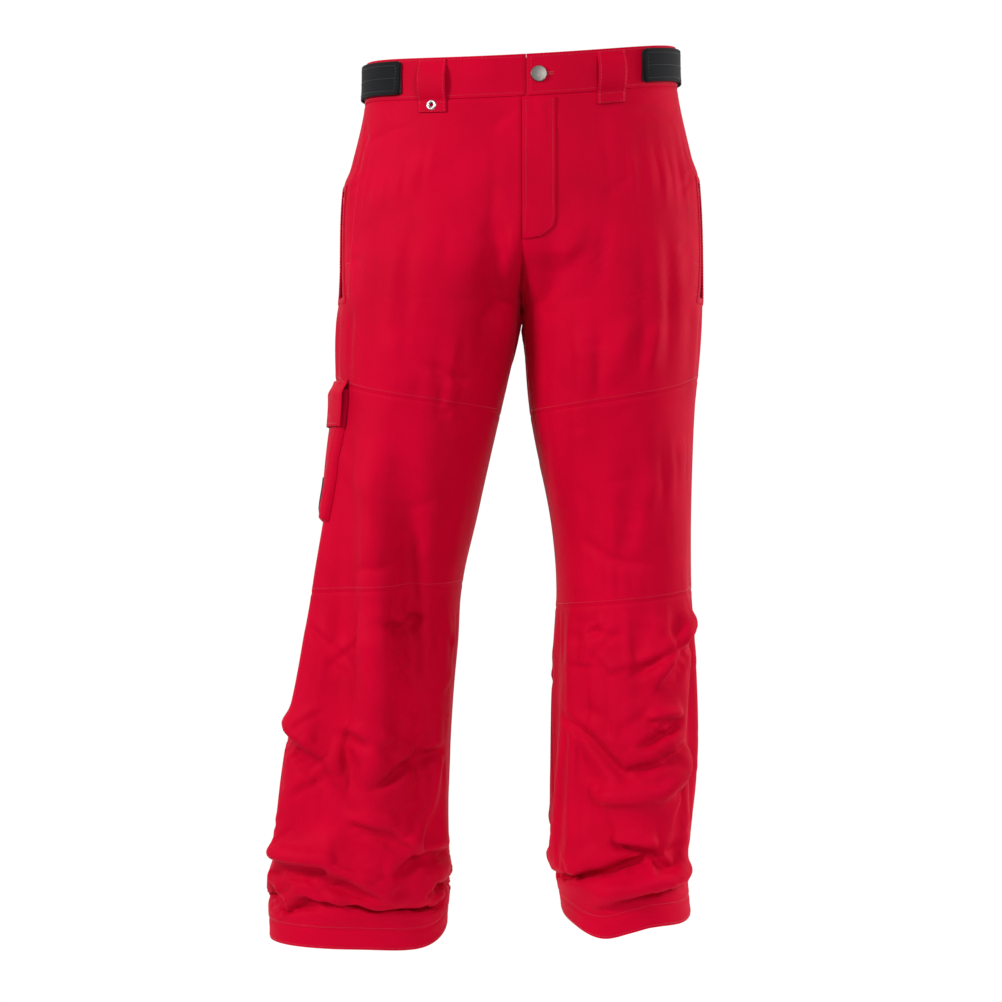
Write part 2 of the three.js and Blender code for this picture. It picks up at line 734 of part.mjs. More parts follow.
function addHandPocket(side) {
  const line = handLine(side);
  const length = line.userData.length;
  const prefix = `hand_pocket_${side}`;
  const zip = zipParts(prefix, length, HAND_ZIP.tape_width, HAND_ZIP.depth, HAND_ZIP.tail);
  const slider = new THREE.Group();
  slider.name = `hand_slider_${side}`;
  const pull = new THREE.Group();
  pull.name = `hand_pull_${side}`;
  const pin = PULL.thickness / 2; // the pull turns about a pin in the middle of its own thickness
  pull.position.set(0, HAND_ZIP.depth - ZIP.clearance - pin, -7);
  pull.add(pullTab(`hand_pocket_${side}_pull`, pin + ZIP.clearance));
  slider.add(zip.slider, pull);
  line.add(...zip.fixed, slider);
  pelvis.add(line);

  const turn = handTurn(side);
  const sign = SIDES[side];
  const edges = [turn - sign * HAND_BAG.front, turn + sign * HAND_BAG.rear].sort((a, b) => a - b);
  const bag = sheet({
    from: edges[0],
    to: edges[1],
    low: -HAND_ZIP.bottom - HAND_BAG.below,
    high: -HAND_ZIP.top + HAND_BAG.above,
    inner: -HAND_BAG.depth - HAND_BAG.thickness,
    outer: -HAND_BAG.depth,
    across: 4,
    up: 6,
  });
  const girth = 480; // of the half body over the hips
  const reach = (HAND_ZIP.slot / 2 + WELT.margin) / girth;
  const frame = sheet({
    from: turn - reach,
    to: turn + reach,
    low: -HAND_ZIP.bottom - HAND_ZIP.tail - WELT.margin,
    high: -HAND_ZIP.top + WELT.margin,
    inner: LAP,
    outer: LAP + WELT.thickness,
    across: 3,
    up: 7,
  });
  pelvis.add(
    named(`hand_pocket_${side}_bag`, bag, LINING),
    named(`hand_pocket_${side}_welt`, cut(frame, handSlot(side)), RED),
  );
}

// ---- Legs ------------------------------------------------------------------------------------------------

function addLeg(side) {
  const thigh = new THREE.Group();
  const shin = new THREE.Group();
  const hemTop = -HEM[side] + HEM_BAND;
  for (const face of ["front", "back"]) {
    thigh.add(named(`knee_${face}_panel_${side}`, legPanel(side, face, kneeRim, thighTop, 9), RED));
    shin.add(named(`shin_${face}_panel_${side}`, legPanel(side, face, hemTop + SEAM_GAP, shinTop, 9), RED));
  }
  const [from, to] = side === "left" ? [0, 1] : [1, 2];
  const ring = (low, high, inner, outer, up = 1) =>
    sheet({ from, to: to - 1e-9, low, high, inner, outer, across: 18, up, ring: true });
  shin.add(named(`hem_${side}`, ring(-HEM[side], hemTop, -CLOTH - 1, 0.4), RED));

  const gaiterTop = -HEM[side] + GAITER.top;
  const gaiterBottom = -HEM[side] + GAITER.bottom;
  const hang = (t) => -CLOTH - 1 - GAITER.taper * (1 - t);
  shin.add(
    named(
      `gaiter_${side}`,
      ring(gaiterBottom, gaiterTop, (s, t) => hang(t) - GAITER.cloth, (s, t) => hang(t), 3),
      LINING,
    ),
    named(
      `gaiter_elastic_${side}`,
      ring(
        gaiterBottom - GAITER.elastic,
        gaiterBottom - SEAM_GAP,
        hang(0) - GAITER.elastic_thickness,
        hang(0),
      ),
      BLACK,
    ),
  );
  pelvis.add(thigh, shin);
  return { thigh, shin };
}

// ---- Cargo pocket on the wearer's right thigh ------------------------------------------------------------

function addCargoPocket(thigh) {
  const middle = CARGO.turn;
  // The layers share their columns with the pocket, so each lies flat on the one below.
  const layer = (columns, inset, inner, thickness, top, bottom, up) => {
    const reach = (CARGO.half_turn * columns) / 6 - inset / 640; // a thigh measures about 640 round
    return sheet({
      from: middle - reach,
      to: middle + reach,
      low: -bottom,
      high: -top,
      inner,
      outer: inner + thickness,
      across: columns,
      up,
    });
  };
  const { top, bottom, wall, depth } = CARGO;
  const body = layer(6, 0, LAP, depth - LAP, top, bottom, 8);
  const inside = layer(6, wall, LAP + wall, depth - LAP - 2 * wall, top - 20, bottom - wall, 8);
  const loops = depth + 0.6;
  const hooks = loops + LOOP_PATCH + 0.3;
  const cloth = hooks + HOOK_PATCH + 0.3;
  thigh.add(
    named("cargo_pocket", cut(body, inside), RED),
    named("cargo_loop_patch", layer(2, 0, loops, LOOP_PATCH, top + 14, top + 34, 1), BLACK),
  );

  const badgeHeight = -top - BADGE.drop + BADGE.height / 2;
  const badge = setOnSurface(new THREE.Group(), middle + BADGE.turn, badgeHeight, depth + 0.4);
  const oval = new THREE.Shape();
  oval.absellipse(0, -BADGE.height / 2, BADGE.width / 2, BADGE.height / 2, 0, 2 * Math.PI);
  badge.add(named("cargo_badge", plate(oval, 0, -BADGE.thickness, 10), BLACK));
  thigh.add(badge);

  // The flap hinges about the tangent at the middle of its top edge, where it is sewn to the thigh.
  const flap = new THREE.Group();
  flap.name = "cargo_flap_body";
  const flapTop = top - FLAP.above_pocket;
  flap.position.copy(offsetPoint(middle, -flapTop, FLAP.hinge));
  flap.userData.axis = surfaceFrame(middle, -flapTop).across.negate();
  const back = flap.position.clone().negate().toArray();
  const flapCloth = layer(6, 0, cloth, FLAP.thickness, flapTop, flapTop + FLAP.height, 3);
  const flapHooks = layer(2, 0, hooks, HOOK_PATCH, top + 15, top + 33, 1);
  flap.add(
    named("cargo_flap", flapCloth.translate(...back), RED),
    named("cargo_hook_patch", flapHooks.translate(...back), BLACK),
  );
  thigh.add(flap);
}

addUpperPanels();
addWaistband();
addFly();
addWaistButton();
addBeltLoops();
addWaistTab("left");
addWaistTab("right");
addHandPocket("left");
addHandPocket("right");
addLeg("left");
const rightLeg = addLeg("right");
addCargoPocket(rightLeg.thigh);

const trousers = new THREE.Group();
trousers.add(pelvis);

export default trousers;
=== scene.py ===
"""Red waterproof snow trousers, standing open as if worn, with their trims, fastenings and stitching.

The cloth is one form that is folded, draped by a cloth simulation, and then cut into its sewn panels. Each
sub-assembly is a class that holds its sizes, builds its meshes and dresses them. Lengths inside the classes
are millimetres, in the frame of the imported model: +Z up, the wearer facing -Y, the wearer's left at +X, and
the origin at the middle of the waist opening. Meshes are made in metres.
"""

import json
import logging
import math
from collections.abc import Callable, Sequence
from dataclasses import dataclass, field, replace
from enum import Enum

import bpy
import numpy as np
from mathutils import Matrix, Vector

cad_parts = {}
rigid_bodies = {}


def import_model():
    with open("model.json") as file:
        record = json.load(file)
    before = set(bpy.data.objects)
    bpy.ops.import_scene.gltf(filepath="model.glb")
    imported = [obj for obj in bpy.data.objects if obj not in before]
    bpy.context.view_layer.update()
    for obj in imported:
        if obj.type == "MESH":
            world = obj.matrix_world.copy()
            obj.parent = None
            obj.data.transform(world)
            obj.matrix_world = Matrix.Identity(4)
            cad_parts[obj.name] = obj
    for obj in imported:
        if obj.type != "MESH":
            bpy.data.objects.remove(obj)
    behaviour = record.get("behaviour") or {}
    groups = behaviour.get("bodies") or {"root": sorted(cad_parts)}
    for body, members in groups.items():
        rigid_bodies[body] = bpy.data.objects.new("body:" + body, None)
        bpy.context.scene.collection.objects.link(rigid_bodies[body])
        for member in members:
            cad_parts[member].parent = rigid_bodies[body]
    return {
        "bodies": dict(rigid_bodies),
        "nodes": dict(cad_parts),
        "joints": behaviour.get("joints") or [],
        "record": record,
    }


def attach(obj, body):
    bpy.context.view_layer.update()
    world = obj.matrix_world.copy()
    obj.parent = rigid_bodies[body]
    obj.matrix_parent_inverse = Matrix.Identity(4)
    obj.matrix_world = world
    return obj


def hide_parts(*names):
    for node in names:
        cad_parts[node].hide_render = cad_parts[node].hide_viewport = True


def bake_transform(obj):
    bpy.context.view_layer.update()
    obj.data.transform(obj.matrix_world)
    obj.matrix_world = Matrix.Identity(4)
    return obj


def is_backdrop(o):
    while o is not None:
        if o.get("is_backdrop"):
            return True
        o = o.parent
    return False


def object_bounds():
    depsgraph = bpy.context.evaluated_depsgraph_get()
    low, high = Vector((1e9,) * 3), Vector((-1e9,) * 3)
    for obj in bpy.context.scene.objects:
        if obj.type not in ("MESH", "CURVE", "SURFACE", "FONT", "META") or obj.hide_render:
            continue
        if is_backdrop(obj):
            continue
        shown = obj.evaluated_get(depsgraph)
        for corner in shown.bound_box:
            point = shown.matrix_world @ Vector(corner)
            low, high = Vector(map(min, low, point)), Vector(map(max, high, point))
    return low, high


LOG = logging.getLogger("trousers")
MM = 0.001
Array = np.ndarray
Stations = Sequence[tuple[float, float]]


class Side(Enum):
    """The wearer's left or right, with its sign along X."""

    LEFT = 1
    RIGHT = -1

    @property
    def word(self) -> str:
        """The side's name as it stands in node names."""
        return self.name.lower()


# ---- Numbers and curves ----------------------------------------------------------------------------------


def smooth(t: Array | float) -> Array:
    """Rise smoothly from 0 to 1.

    Args:
        t: Where on the rise, clipped to 0..1.

    Returns:
        The smoothed share.
    """
    t = np.clip(t, 0.0, 1.0)
    return t * t * (3 - 2 * t)


def curve(stations: Stations, x: Array | float) -> Array:
    """Follow a smooth curve through stations.

    Args:
        stations: Pairs of position and value, the positions in one direction.
        x: Positions to read.

    Returns:
        The values there, held beyond the ends.
    """
    xs = np.array([s[0] for s in stations], float)
    vs = np.array([s[1] for s in stations], float)
    x = np.asarray(x, float)
    if xs[0] > xs[-1]:
        xs, vs = xs[::-1], vs[::-1]
    slopes = np.empty_like(vs)
    slopes[1:-1] = (vs[2:] - vs[:-2]) / (xs[2:] - xs[:-2])
    slopes[0] = (vs[1] - vs[0]) / (xs[1] - xs[0])
    slopes[-1] = (vs[-1] - vs[-2]) / (xs[-1] - xs[-2])
    x = np.clip(x, xs[0], xs[-1])
    k = np.clip(np.searchsorted(xs, x, side="right") - 1, 0, len(xs) - 2)
    step = xs[k + 1] - xs[k]
    t = (x - xs[k]) / step
    bend = t * (1 - t) * step
    return vs[k] + (vs[k + 1] - vs[k]) * smooth(t) + bend * ((1 - t) * slopes[k] - t * slopes[k + 1])


def unit(v: Array) -> Array:
    """Scale vectors in the last axis to length one."""
    return v / np.maximum(np.linalg.norm(v, axis=-1, keepdims=True), 1e-9)


# ---- The form of the trousers ----------------------------------------------------------------------------


@dataclass(frozen=True)
class LegStation:
    """One level of a leg: its middle's distance from the centre plane, width, and depth either way."""

    middle: float
    width: float
    front: float
    back: float


@dataclass(frozen=True)
class TrouserForm:
    """The smooth outside of the trousers before any fold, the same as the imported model's panels."""

    waistband: float = 47
    hip_top: float = 169
    crotch: float = 289
    knee: float = 544
    hem: dict[Side, float] = field(default_factory=lambda: {Side.LEFT: 1020, Side.RIGHT: 1041})
    waist_half_width: float = 181
    hip_half_width: float = 213
    waist_tilt: float = 9.5
    front_dip: float = 15
    back_rise: float = 20
    roundness: float = 2.2
    hand_zip_top: float = 154
    hand_zip_bottom: float = 277
    leg: dict[Side, tuple[LegStation, ...]] = field(
        default_factory=lambda: {
            Side.LEFT: (
                LegStation(107, 208, 120, 132),
                LegStation(106, 195, 112, 118),
                LegStation(118, 168, 100, 100),
                LegStation(125, 166, 90, 100),
                LegStation(124, 172, 90, 100),
                LegStation(118, 158, 94, 100),
                LegStation(126, 154, 100, 104),
            ),
            Side.RIGHT: (
                LegStation(112, 214, 120, 132),
                LegStation(119.5, 193, 112, 118),
                LegStation(146, 186, 100, 100),
                LegStation(172, 190, 88, 100),
                LegStation(185, 202, 84, 98),
                LegStation(190, 208, 80, 92),
                LegStation(192, 210, 76, 84),
            ),
        }
    )

    def stations(self, side: Side) -> dict[str, Stations]:
        """List the levels that shape one side.

        Args:
            side: The wearer's left or right.

        Returns:
            Curves of the outer and inner edge and of the depth to front and back, by height.
        """
        hem = self.hem[side]
        heights = [-self.crotch - 40, -self.crotch - 120, -self.knee]
        heights += [-(self.knee + (hem - self.knee) * share) for share in (0.3, 0.5, 0.72, 1)]
        leg = list(zip(heights, self.leg[side]))
        band, half = self.waistband, self.waist_half_width
        widening = half + (self.hip_half_width - half) * 0.42
        return {
            "out": [
                (0, half),
                (-band, half + 2),
                (-(self.hand_zip_top + band) / 2, widening),
                (-self.hand_zip_top, self.hip_half_width - 4),
                (-self.hand_zip_bottom, self.hip_half_width),
                *((h, s.middle + s.width / 2) for h, s in leg),
            ],
            "in": [(-self.crotch, 0), *((h, s.middle - s.width / 2) for h, s in leg)],
            "front": [
                (0, 112),
                (-band, 114),
                (-224, 126),
                (-self.crotch, 124),
                *((h, s.front) for h, s in leg),
            ],
            "back": [
                (0, 112),
                (-band, 118),
                (-139, 136),
                (-219, 148),
                (-self.crotch, 140),
                *((h, s.back) for h, s in leg),
            ],
        }

    def point(self, side: Side, turn: Array, height: Array) -> Array:
        """Place points on the form.

        Args:
            side: The wearer's left or right.
            turn: Shares of the way round that half, from centre front or inseam (0) over the side seam (0.5)
                to centre back or inseam (1).
            height: Levels, 0 at the waist and negative below.

        Returns:
            Points in millimetres, with X, Y and Z last.
        """
        turn, height = np.broadcast_arrays(np.asarray(turn, float), np.asarray(height, float))
        s = self.stations(side)
        out = curve(s["out"], height)
        parting = smooth((height + self.crotch) / (self.crotch - self.hip_top))
        inner = np.where(height > -self.crotch, -out * parting, curve(s["in"], height))
        middle, half = (out + inner) / 2, (out - inner) / 2
        opened = np.arccos(np.clip(np.maximum(0, middle) / half, 0, 1) ** (self.roundness / 2))
        angle = opened + (2 * np.pi - 2 * opened) * turn
        power = 2 / self.roundness
        cosine, sine = np.cos(angle), np.sin(angle)
        x = side.value * (middle - half * np.sign(cosine) * np.abs(cosine) ** power)
        reach = np.sign(sine) * np.abs(sine) ** power
        depth = np.where(sine > 0, curve(s["front"], height), curve(s["back"], height))
        y = -reach * depth
        fade = smooth((height + 249) / 200)
        rise = np.where(y < 0, -self.front_dip, self.back_rise)
        lift = fade * (self.waist_tilt * x / self.waist_half_width + rise * (y / 112) ** 2)
        return np.stack([x, y, height + lift], axis=-1)

    def outward(self, side: Side, turn: Array, height: Array) -> Array:
        """Give the directions out of the form at points."""
        across = self.point(side, np.minimum(turn + 0.004, 1), height)
        across = across - self.point(side, np.maximum(turn - 0.004, 0), height)
        up = self.point(side, turn, height + 1) - self.point(side, turn, height - 1)
        return unit(np.cross(across, up)) * side.value

    def front_turn(self, x: float, height: float) -> float:
        """Find the turn at which the front stands x millimetres from the centre plane."""
        side = Side.LEFT if x > 0 else Side.RIGHT
        low, high = 0.0, 0.5
        for _ in range(30):
            mid = (low + high) / 2
            if abs(self.point(side, np.array(mid), np.array(height))[0]) < abs(x):
                low = mid
            else:
                high = mid
        return low


# ---- Folds -----------------------------------------------------------------------------------------------


class FoldKind(Enum):
    """How a fold's section is shaped."""

    RIDGE = "a soft ridge"
    VALLEY = "a soft valley"
    OVERHANG = "a ridge that hangs over a sharp crease below it"


@dataclass(frozen=True)
class Fold:
    """A fold of the cloth along a line of points, (distance from the centre plane, height) on the front, or
    (turn, height) where every first number is below 1.01."""

    side: Side
    points: tuple[tuple[float, float], ...]
    rise: float
    width: float
    kind: FoldKind = FoldKind.OVERHANG


R, L = Side.RIGHT, Side.LEFT
RIDGE, VALLEY, OVERHANG = FoldKind.RIDGE, FoldKind.VALLEY, FoldKind.OVERHANG

FOLDS: tuple[Fold, ...] = (
    # front of the wearer's right lower leg
    Fold(R, ((-246, -650), (-220, -679), (-190, -703)), 5, 10, VALLEY),
    Fold(R, ((-172, -629), (-165, -689), (-163, -729), (-157, -774)), 12, 20, RIDGE),
    Fold(R, ((-165, -644), (-137, -661), (-98, -641)), 14, 15, VALLEY),
    Fold(R, ((-212, -769), (-172, -775), (-137, -785)), 9, 13),
    Fold(R, ((-88, -797), (-137, -811), (-186, -845)), 15, 14, VALLEY),
    Fold(R, ((-278, -741), (-225, -803), (-176, -871)), 15, 17),
    Fold(R, ((-205, -869), (-176, -873), (-150, -879), (-118, -917)), 12, 14),
    Fold(R, ((-300, -917), (-225, -921), (-181, -942), (-135, -979)), 21, 17),
    Fold(R, ((-165, -942), (-124, -919), (-84, -921)), 15, 14, VALLEY),
    Fold(R, ((-246, -961), (-196, -965), (-140, -983)), 9, 11),
    Fold(R, ((-190, -993), (-158, -982), (-88, -995)), 14, 10, VALLEY),
    Fold(R, ((-246, -1017), (-217, -1005), (-172, -1002)), 7, 10),
    # front of the wearer's left lower leg
    Fold(L, ((204, -625), (170, -679), (134, -734)), 14, 16),
    Fold(L, ((182, -665), (150, -694), (110, -717)), 9, 12, VALLEY),
    Fold(L, ((180, -753), (155, -755), (130, -759)), 9, 11),
    Fold(L, ((178, -764), (150, -779), (120, -797)), 9, 11, VALLEY),
    Fold(L, ((46, -753), (78, -785), (111, -823), (165, -801), (203, -767)), 12, 13, VALLEY),
    Fold(L, ((56, -823), (87, -845), (150, -837), (184, -807), (203, -771)), 15, 15, RIDGE),
    Fold(L, ((90, -891), (120, -892), (152, -899)), 11, 12),
    Fold(L, ((149, -903), (93, -934), (46, -957)), 11, 13, VALLEY),
    Fold(L, ((198, -923), (164, -945), (108, -970), (70, -995)), 21, 15),
    Fold(L, ((150, -979), (176, -982), (202, -990)), 8, 10),
    # backs of the lower legs
    Fold(R, ((0.95, -689), (0.78, -714), (0.6, -701)), 12, 17),
    Fold(R, ((0.55, -754), (0.7, -779), (0.9, -759)), 14, 16),
    Fold(R, ((0.97, -819), (0.8, -841), (0.58, -827)), 15, 16),
    Fold(R, ((0.5, -879), (0.68, -907), (0.92, -891)), 17, 16),
    Fold(R, ((0.99, -944), (0.8, -967), (0.56, -955)), 15, 14),
    Fold(L, ((0.95, -679), (0.8, -705), (0.58, -689)), 12, 16),
    Fold(L, ((0.52, -737), (0.72, -767), (0.94, -749)), 14, 16),
    Fold(L, ((0.98, -801), (0.8, -825), (0.6, -813)), 15, 15),
    Fold(L, ((0.54, -861), (0.7, -891), (0.93, -873)), 17, 15),
    Fold(L, ((0.97, -927), (0.78, -951), (0.55, -939)), 15, 14),
    # backs of the knees
    Fold(R, ((0.6, -509), (0.75, -537), (0.95, -519)), 9, 15),
    Fold(R, ((0.97, -577), (0.8, -593), (0.62, -579)), 10, 15),
    Fold(L, ((0.6, -505), (0.75, -533), (0.95, -515)), 9, 15),
    Fold(L, ((0.97, -573), (0.8, -589), (0.62, -575)), 10, 15),
    # the long edge down the front of the wearer's right leg, and the flat plane inside it
    Fold(R, ((-176, -430), (-168, -560), (-164, -700), (-166, -850), (-172, -985)), 10, 24, RIDGE),
    Fold(R, ((-126, -470), (-120, -600), (-114, -760), (-112, -930)), 10, 26, VALLEY),
    # small creases under the waistband
    Fold(L, ((7, -52), (22, -78)), 1.5, 5, VALLEY),
    Fold(L, ((27, -54), (36, -92)), 1.6, 5, VALLEY),
    Fold(L, ((120, -72), (150, -76), (178, -88)), 1.6, 7, VALLEY),
    Fold(R, ((-118, -78), (-150, -84), (-176, -96)), 1.6, 7, VALLEY),
    Fold(R, ((-10, -60), (-34, -84)), 1.3, 6, VALLEY),
    # soft folds of the thighs, seat and hips
    Fold(R, ((-10, -164), (-26, -239), (-42, -309), (-50, -369)), 7, 24, VALLEY),
    Fold(L, ((26, -179), (34, -239), (38, -309)), 4, 26, VALLEY),
    Fold(R, ((-70, -83), (-125, -139), (-186, -195)), 2.6, 18, RIDGE),
    Fold(L, ((80, -99), (130, -139), (186, -164)), 2.2, 20, RIDGE),
    Fold(L, ((125, -304), (108, -349), (96, -394)), 5, 15, RIDGE),
    Fold(L, ((156, -307), (150, -339), (142, -374)), 4, 12, RIDGE),
    Fold(L, ((60, -319), (72, -359), (78, -399)), 4, 15, RIDGE),
    Fold(R, ((-112, -355), (-85, -373), (-52, -379)), 6, 16, VALLEY),
    Fold(R, ((-150, -319), (-140, -361), (-128, -399)), 3, 16, RIDGE),
    Fold(R, ((0.98, -339), (0.84, -361), (0.68, -341)), 7, 18),
    Fold(L, ((0.98, -335), (0.84, -359), (0.68, -339)), 7, 18),
    Fold(R, ((0.96, -409), (0.82, -435), (0.66, -425)), 5, 18),
    Fold(L, ((0.96, -405), (0.82, -431), (0.66, -421)), 5, 18),
    Fold(R, ((-228, -429), (-190, -489), (-150, -529)), 3, 22, RIDGE),
    Fold(L, ((196, -439), (165, -489), (120, -519)), 3, 20, RIDGE),
    Fold(L, ((60, -549), (95, -579), (150, -589)), 4, 18, VALLEY),
    Fold(R, ((-100, -549), (-150, -589), (-200, -593)), 3, 18, VALLEY),
)


def fold_profile(kind: FoldKind, d: Array, width: float) -> Array:
    """Give the section of a fold of unit rise.

    Args:
        kind: The fold's shape.
        d: Distance from its line, positive above.
        width: Half the fold's width.

    Returns:
        How far the cloth moves outwards.
    """
    if kind is FoldKind.RIDGE:
        return np.exp(-((d / width) ** 2))
    if kind is FoldKind.VALLEY:
        return -np.exp(-((d / (0.7 * width)) ** 2)) + 0.35 * np.exp(
            -(((np.abs(d) - 1.5 * width) / width) ** 2)
        )
    spread = np.where(d > 0, 1.35 * width, 0.42 * width)
    crease = np.exp(-(((d + 0.95 * width) / (0.38 * width)) ** 2))
    return np.exp(-((d / spread) ** 2)) - 0.6 * crease


# ---- The draped cloth ------------------------------------------------------------------------------------


@dataclass
class Drape:
    """The cloth as one grid for each half, folded and draped; sewn pieces are cut from it or laid on it."""

    form: TrouserForm
    columns: int = 76
    block_rows: tuple[int, ...] = (6, 34, 17, 34, 60, 4)
    frames: int = 22
    grids: dict[Side, Array] = field(default_factory=dict)

    def seams(self, side: Side) -> list[Stations]:
        """List the lines across one half that the rows follow, as heights by turn.

        Args:
            side: The wearer's left or right.

        Returns:
            The waist edge, waistband seam, crotch level, thigh seam, knee seam, hem seam and hem edge.
        """
        hem = self.form.hem[side]
        crotch = self.form.crotch
        flat = [(0.0, 0.0), (1.0, 0.0)]
        level = lambda h: [(t, h) for t, _ in flat]
        if side is Side.RIGHT:
            knee = [(0, -609), (0.25, -615), (0.5, -621), (0.75, -617), (1, -609)]
            rises = [(0, 22), (0.12, 3), (0.25, 5), (0.5, 7), (0.75, 10), (1, 22)]
        else:
            knee = [(0, -638), (0.25, -629), (0.5, -618), (0.75, -627), (1, -638)]
            rises = [(0, 19), (0.08, 12), (0.185, 0), (0.29, 13), (0.4, 13), (0.5, 16), (0.75, 16), (1, 19)]
        edge = [(t, rise - hem) for t, rise in rises]
        thigh = [(0, -414), (0.16, -408), (0.33, -393), (0.5, -374), (0.68, -383), (0.86, -399), (1, -414)]
        return [
            level(0.0),
            level(-self.form.waistband),
            level(-crotch),
            thigh,
            knee,
            [(t, h + 22) for t, h in edge],
            edge,
        ]

    def row_heights(self, side: Side, turn: Array) -> Array:
        """Give the height of every row at some turns, rows first."""
        lines = [curve(s, turn) for s in self.seams(side)]
        rows = [lines[0]]
        for above, below, count in zip(lines[:-1], lines[1:], self.block_rows):
            rows += [above + (below - above) * (k + 1) / count for k in range(count)]
        return np.array(rows)

    @property
    def crotch_row(self) -> int:
        """The row that the two legs part at."""
        return sum(self.block_rows[:2])

    def block_start(self, block: int) -> int:
        """The row a block of the cloth starts at."""
        return sum(self.block_rows[:block])

    def folded_grid(self, side: Side) -> Array:
        """Place the grid with its folds raised, before it is draped."""
        turn = np.linspace(0, 1, self.columns + 1)
        heights = self.row_heights(side, turn)
        turns = np.broadcast_to(turn, heights.shape)
        points = self.form.point(side, turns, heights)
        rise = np.zeros(heights.shape)
        round_half = 480 + 60 * smooth((heights + 900) / 600)
        for fold in FOLDS:
            if fold.side is side:
                rise += 0.65 * self.fold_rise(fold, turns, heights, round_half)
        edge = np.minimum(turns, 1 - turns)
        above = heights > -self.form.crotch - 5
        rise *= np.where(above, smooth(edge / 0.06), 1.0)
        rise *= smooth((-self.form.waistband - heights) / 40)
        rise *= 0.1 + 0.9 * smooth((heights - self.row_heights(side, turn)[-1] - 24) / 40)
        puff = 6 if side is Side.RIGHT else 7
        rise += (
            puff
            * smooth((-620 - heights) / 60)
            * smooth((heights - self.row_heights(side, turn)[-1]) / 80)
        )
        if side is Side.RIGHT:
            points[..., 0] -= 6 * smooth((-520 - heights) / 90) * smooth((heights + 960) / 110)
        else:
            rise -= 9 * np.exp(-(((turns - 0.5) / 0.16) ** 2)) * np.exp(-(((heights + 930) / 60) ** 2))
        outward = self.form.outward(side, turns, heights)
        return points + outward * rise[..., None]

    def fold_rise(self, fold: Fold, turns: Array, heights: Array, girth: Array) -> Array:
        """Measure how far one fold moves the cloth out, at each point of the grid."""
        line = []
        for a, h in fold.points:
            t = a if 0 <= a <= 1.01 else self.form.front_turn(a, h)
            line.append((t, h))
        t_line = np.array(line)
        best = np.full(heights.shape, 1e9)
        signed = np.zeros(heights.shape)
        along = np.zeros(heights.shape)
        lengths = [0.0]
        for (t0, h0), (t1, h1) in zip(t_line[:-1], t_line[1:]):
            lengths.append(lengths[-1] + math.hypot((t1 - t0) * 520, h1 - h0))
        for k, ((t0, h0), (t1, h1)) in enumerate(zip(t_line[:-1], t_line[1:])):
            dx, dz = (t1 - t0) * girth, h1 - h0
            px, pz = (turns - t0) * girth, heights - h0
            share = np.clip((px * dx + pz * dz) / (dx * dx + dz * dz), 0, 1)
            ox, oz = px - share * dx, pz - share * dz
            d = np.hypot(ox, oz)
            near = d < best
            flip = np.where(dx < 0, -1.0, 1.0)
            side_of = np.sign((dx * pz - dz * px) * flip)
            best = np.where(near, d, best)
            signed = np.where(near, d * side_of, signed)
            along = np.where(near, (lengths[k] + share * (lengths[k + 1] - lengths[k])) / lengths[-1], along)
        taper = smooth(along / 0.3) * smooth((1 - along) / 0.3)
        raised = fold.rise * fold_profile(fold.kind, signed, fold.width) * taper
        # A fold flattens where it turns the side seam.
        return raised * (1 - 0.8 * np.exp(-(((turns - 0.5) / 0.085) ** 2)))

    def drape(self) -> None:
        folded = {side: self.folded_grid(side) for side in Side}
        rows, cols = folded[Side.LEFT].shape[:2]
        index: dict[Side, Array] = {}
        vertices: list[Array] = []
        count = 0
        for side in Side:
            ids = np.full((rows, cols), -1)
            for j in range(rows):
                for i in range(cols):
                    at_front, at_back = i == 0, i == cols - 1
                    if j == self.crotch_row and at_back:
                        ids[j, i] = ids[j, 0]
                    elif j <= self.crotch_row and (at_front or at_back) and side is Side.RIGHT:
                        ids[j, i] = index[Side.LEFT][j, i]
                    elif j > self.crotch_row and at_back:
                        ids[j, i] = ids[j, 0]
                    else:
                        ids[j, i] = count
                        vertices.append(folded[side][j, i])
                        count += 1
            index[side] = ids
        faces = []
        for side in Side:
            ids = index[side]
            for j in range(rows - 1):
                for i in range(cols - 1):
                    quad = [ids[j, i], ids[j + 1, i], ids[j + 1, i + 1], ids[j, i + 1]]
                    quad = list(dict.fromkeys(int(q) for q in quad))
                    if side is Side.RIGHT:
                        quad.reverse()
                    if len(quad) > 2:
                        faces.append(quad)
        cloth = make_mesh("drape", np.array(vertices) * MM, faces)
        pins = cloth.vertex_groups.new(name="pin")
        weight = np.zeros(count)
        for side in Side:
            ids = index[side]
            share = np.zeros(ids.shape)
            share[: self.block_start(1) + 2] = 1
            share[-3:] = 0.85
            hold = self.row_heights(side, np.linspace(0, 1, cols))
            share = np.maximum(share, 0.25 * smooth((hold + 640) / 240))
            share = np.maximum(share, 0.8 * smooth((hold[-1] + 62 - hold) / 42))
            share = np.maximum(share, 0.07)
            weight[ids.ravel()] = share.ravel()
        for value in np.unique(np.round(weight, 2)):
            if value > 0:
                members = np.nonzero(np.round(weight, 2) == value)[0]
                pins.add([int(m) for m in members], float(value), "REPLACE")
        body = self.inner_body(folded)
        self.simulate(cloth, body)
        settled = np.empty(count * 3)
        cloth.data.vertices.foreach_get("co", settled)
        settled = settled.reshape(-1, 3) / MM
        for side in Side:
            self.grids[side] = settled[index[side]]
        for scratch in (cloth, body):
            bpy.data.objects.remove(scratch, do_unlink=True)
        self.refine()

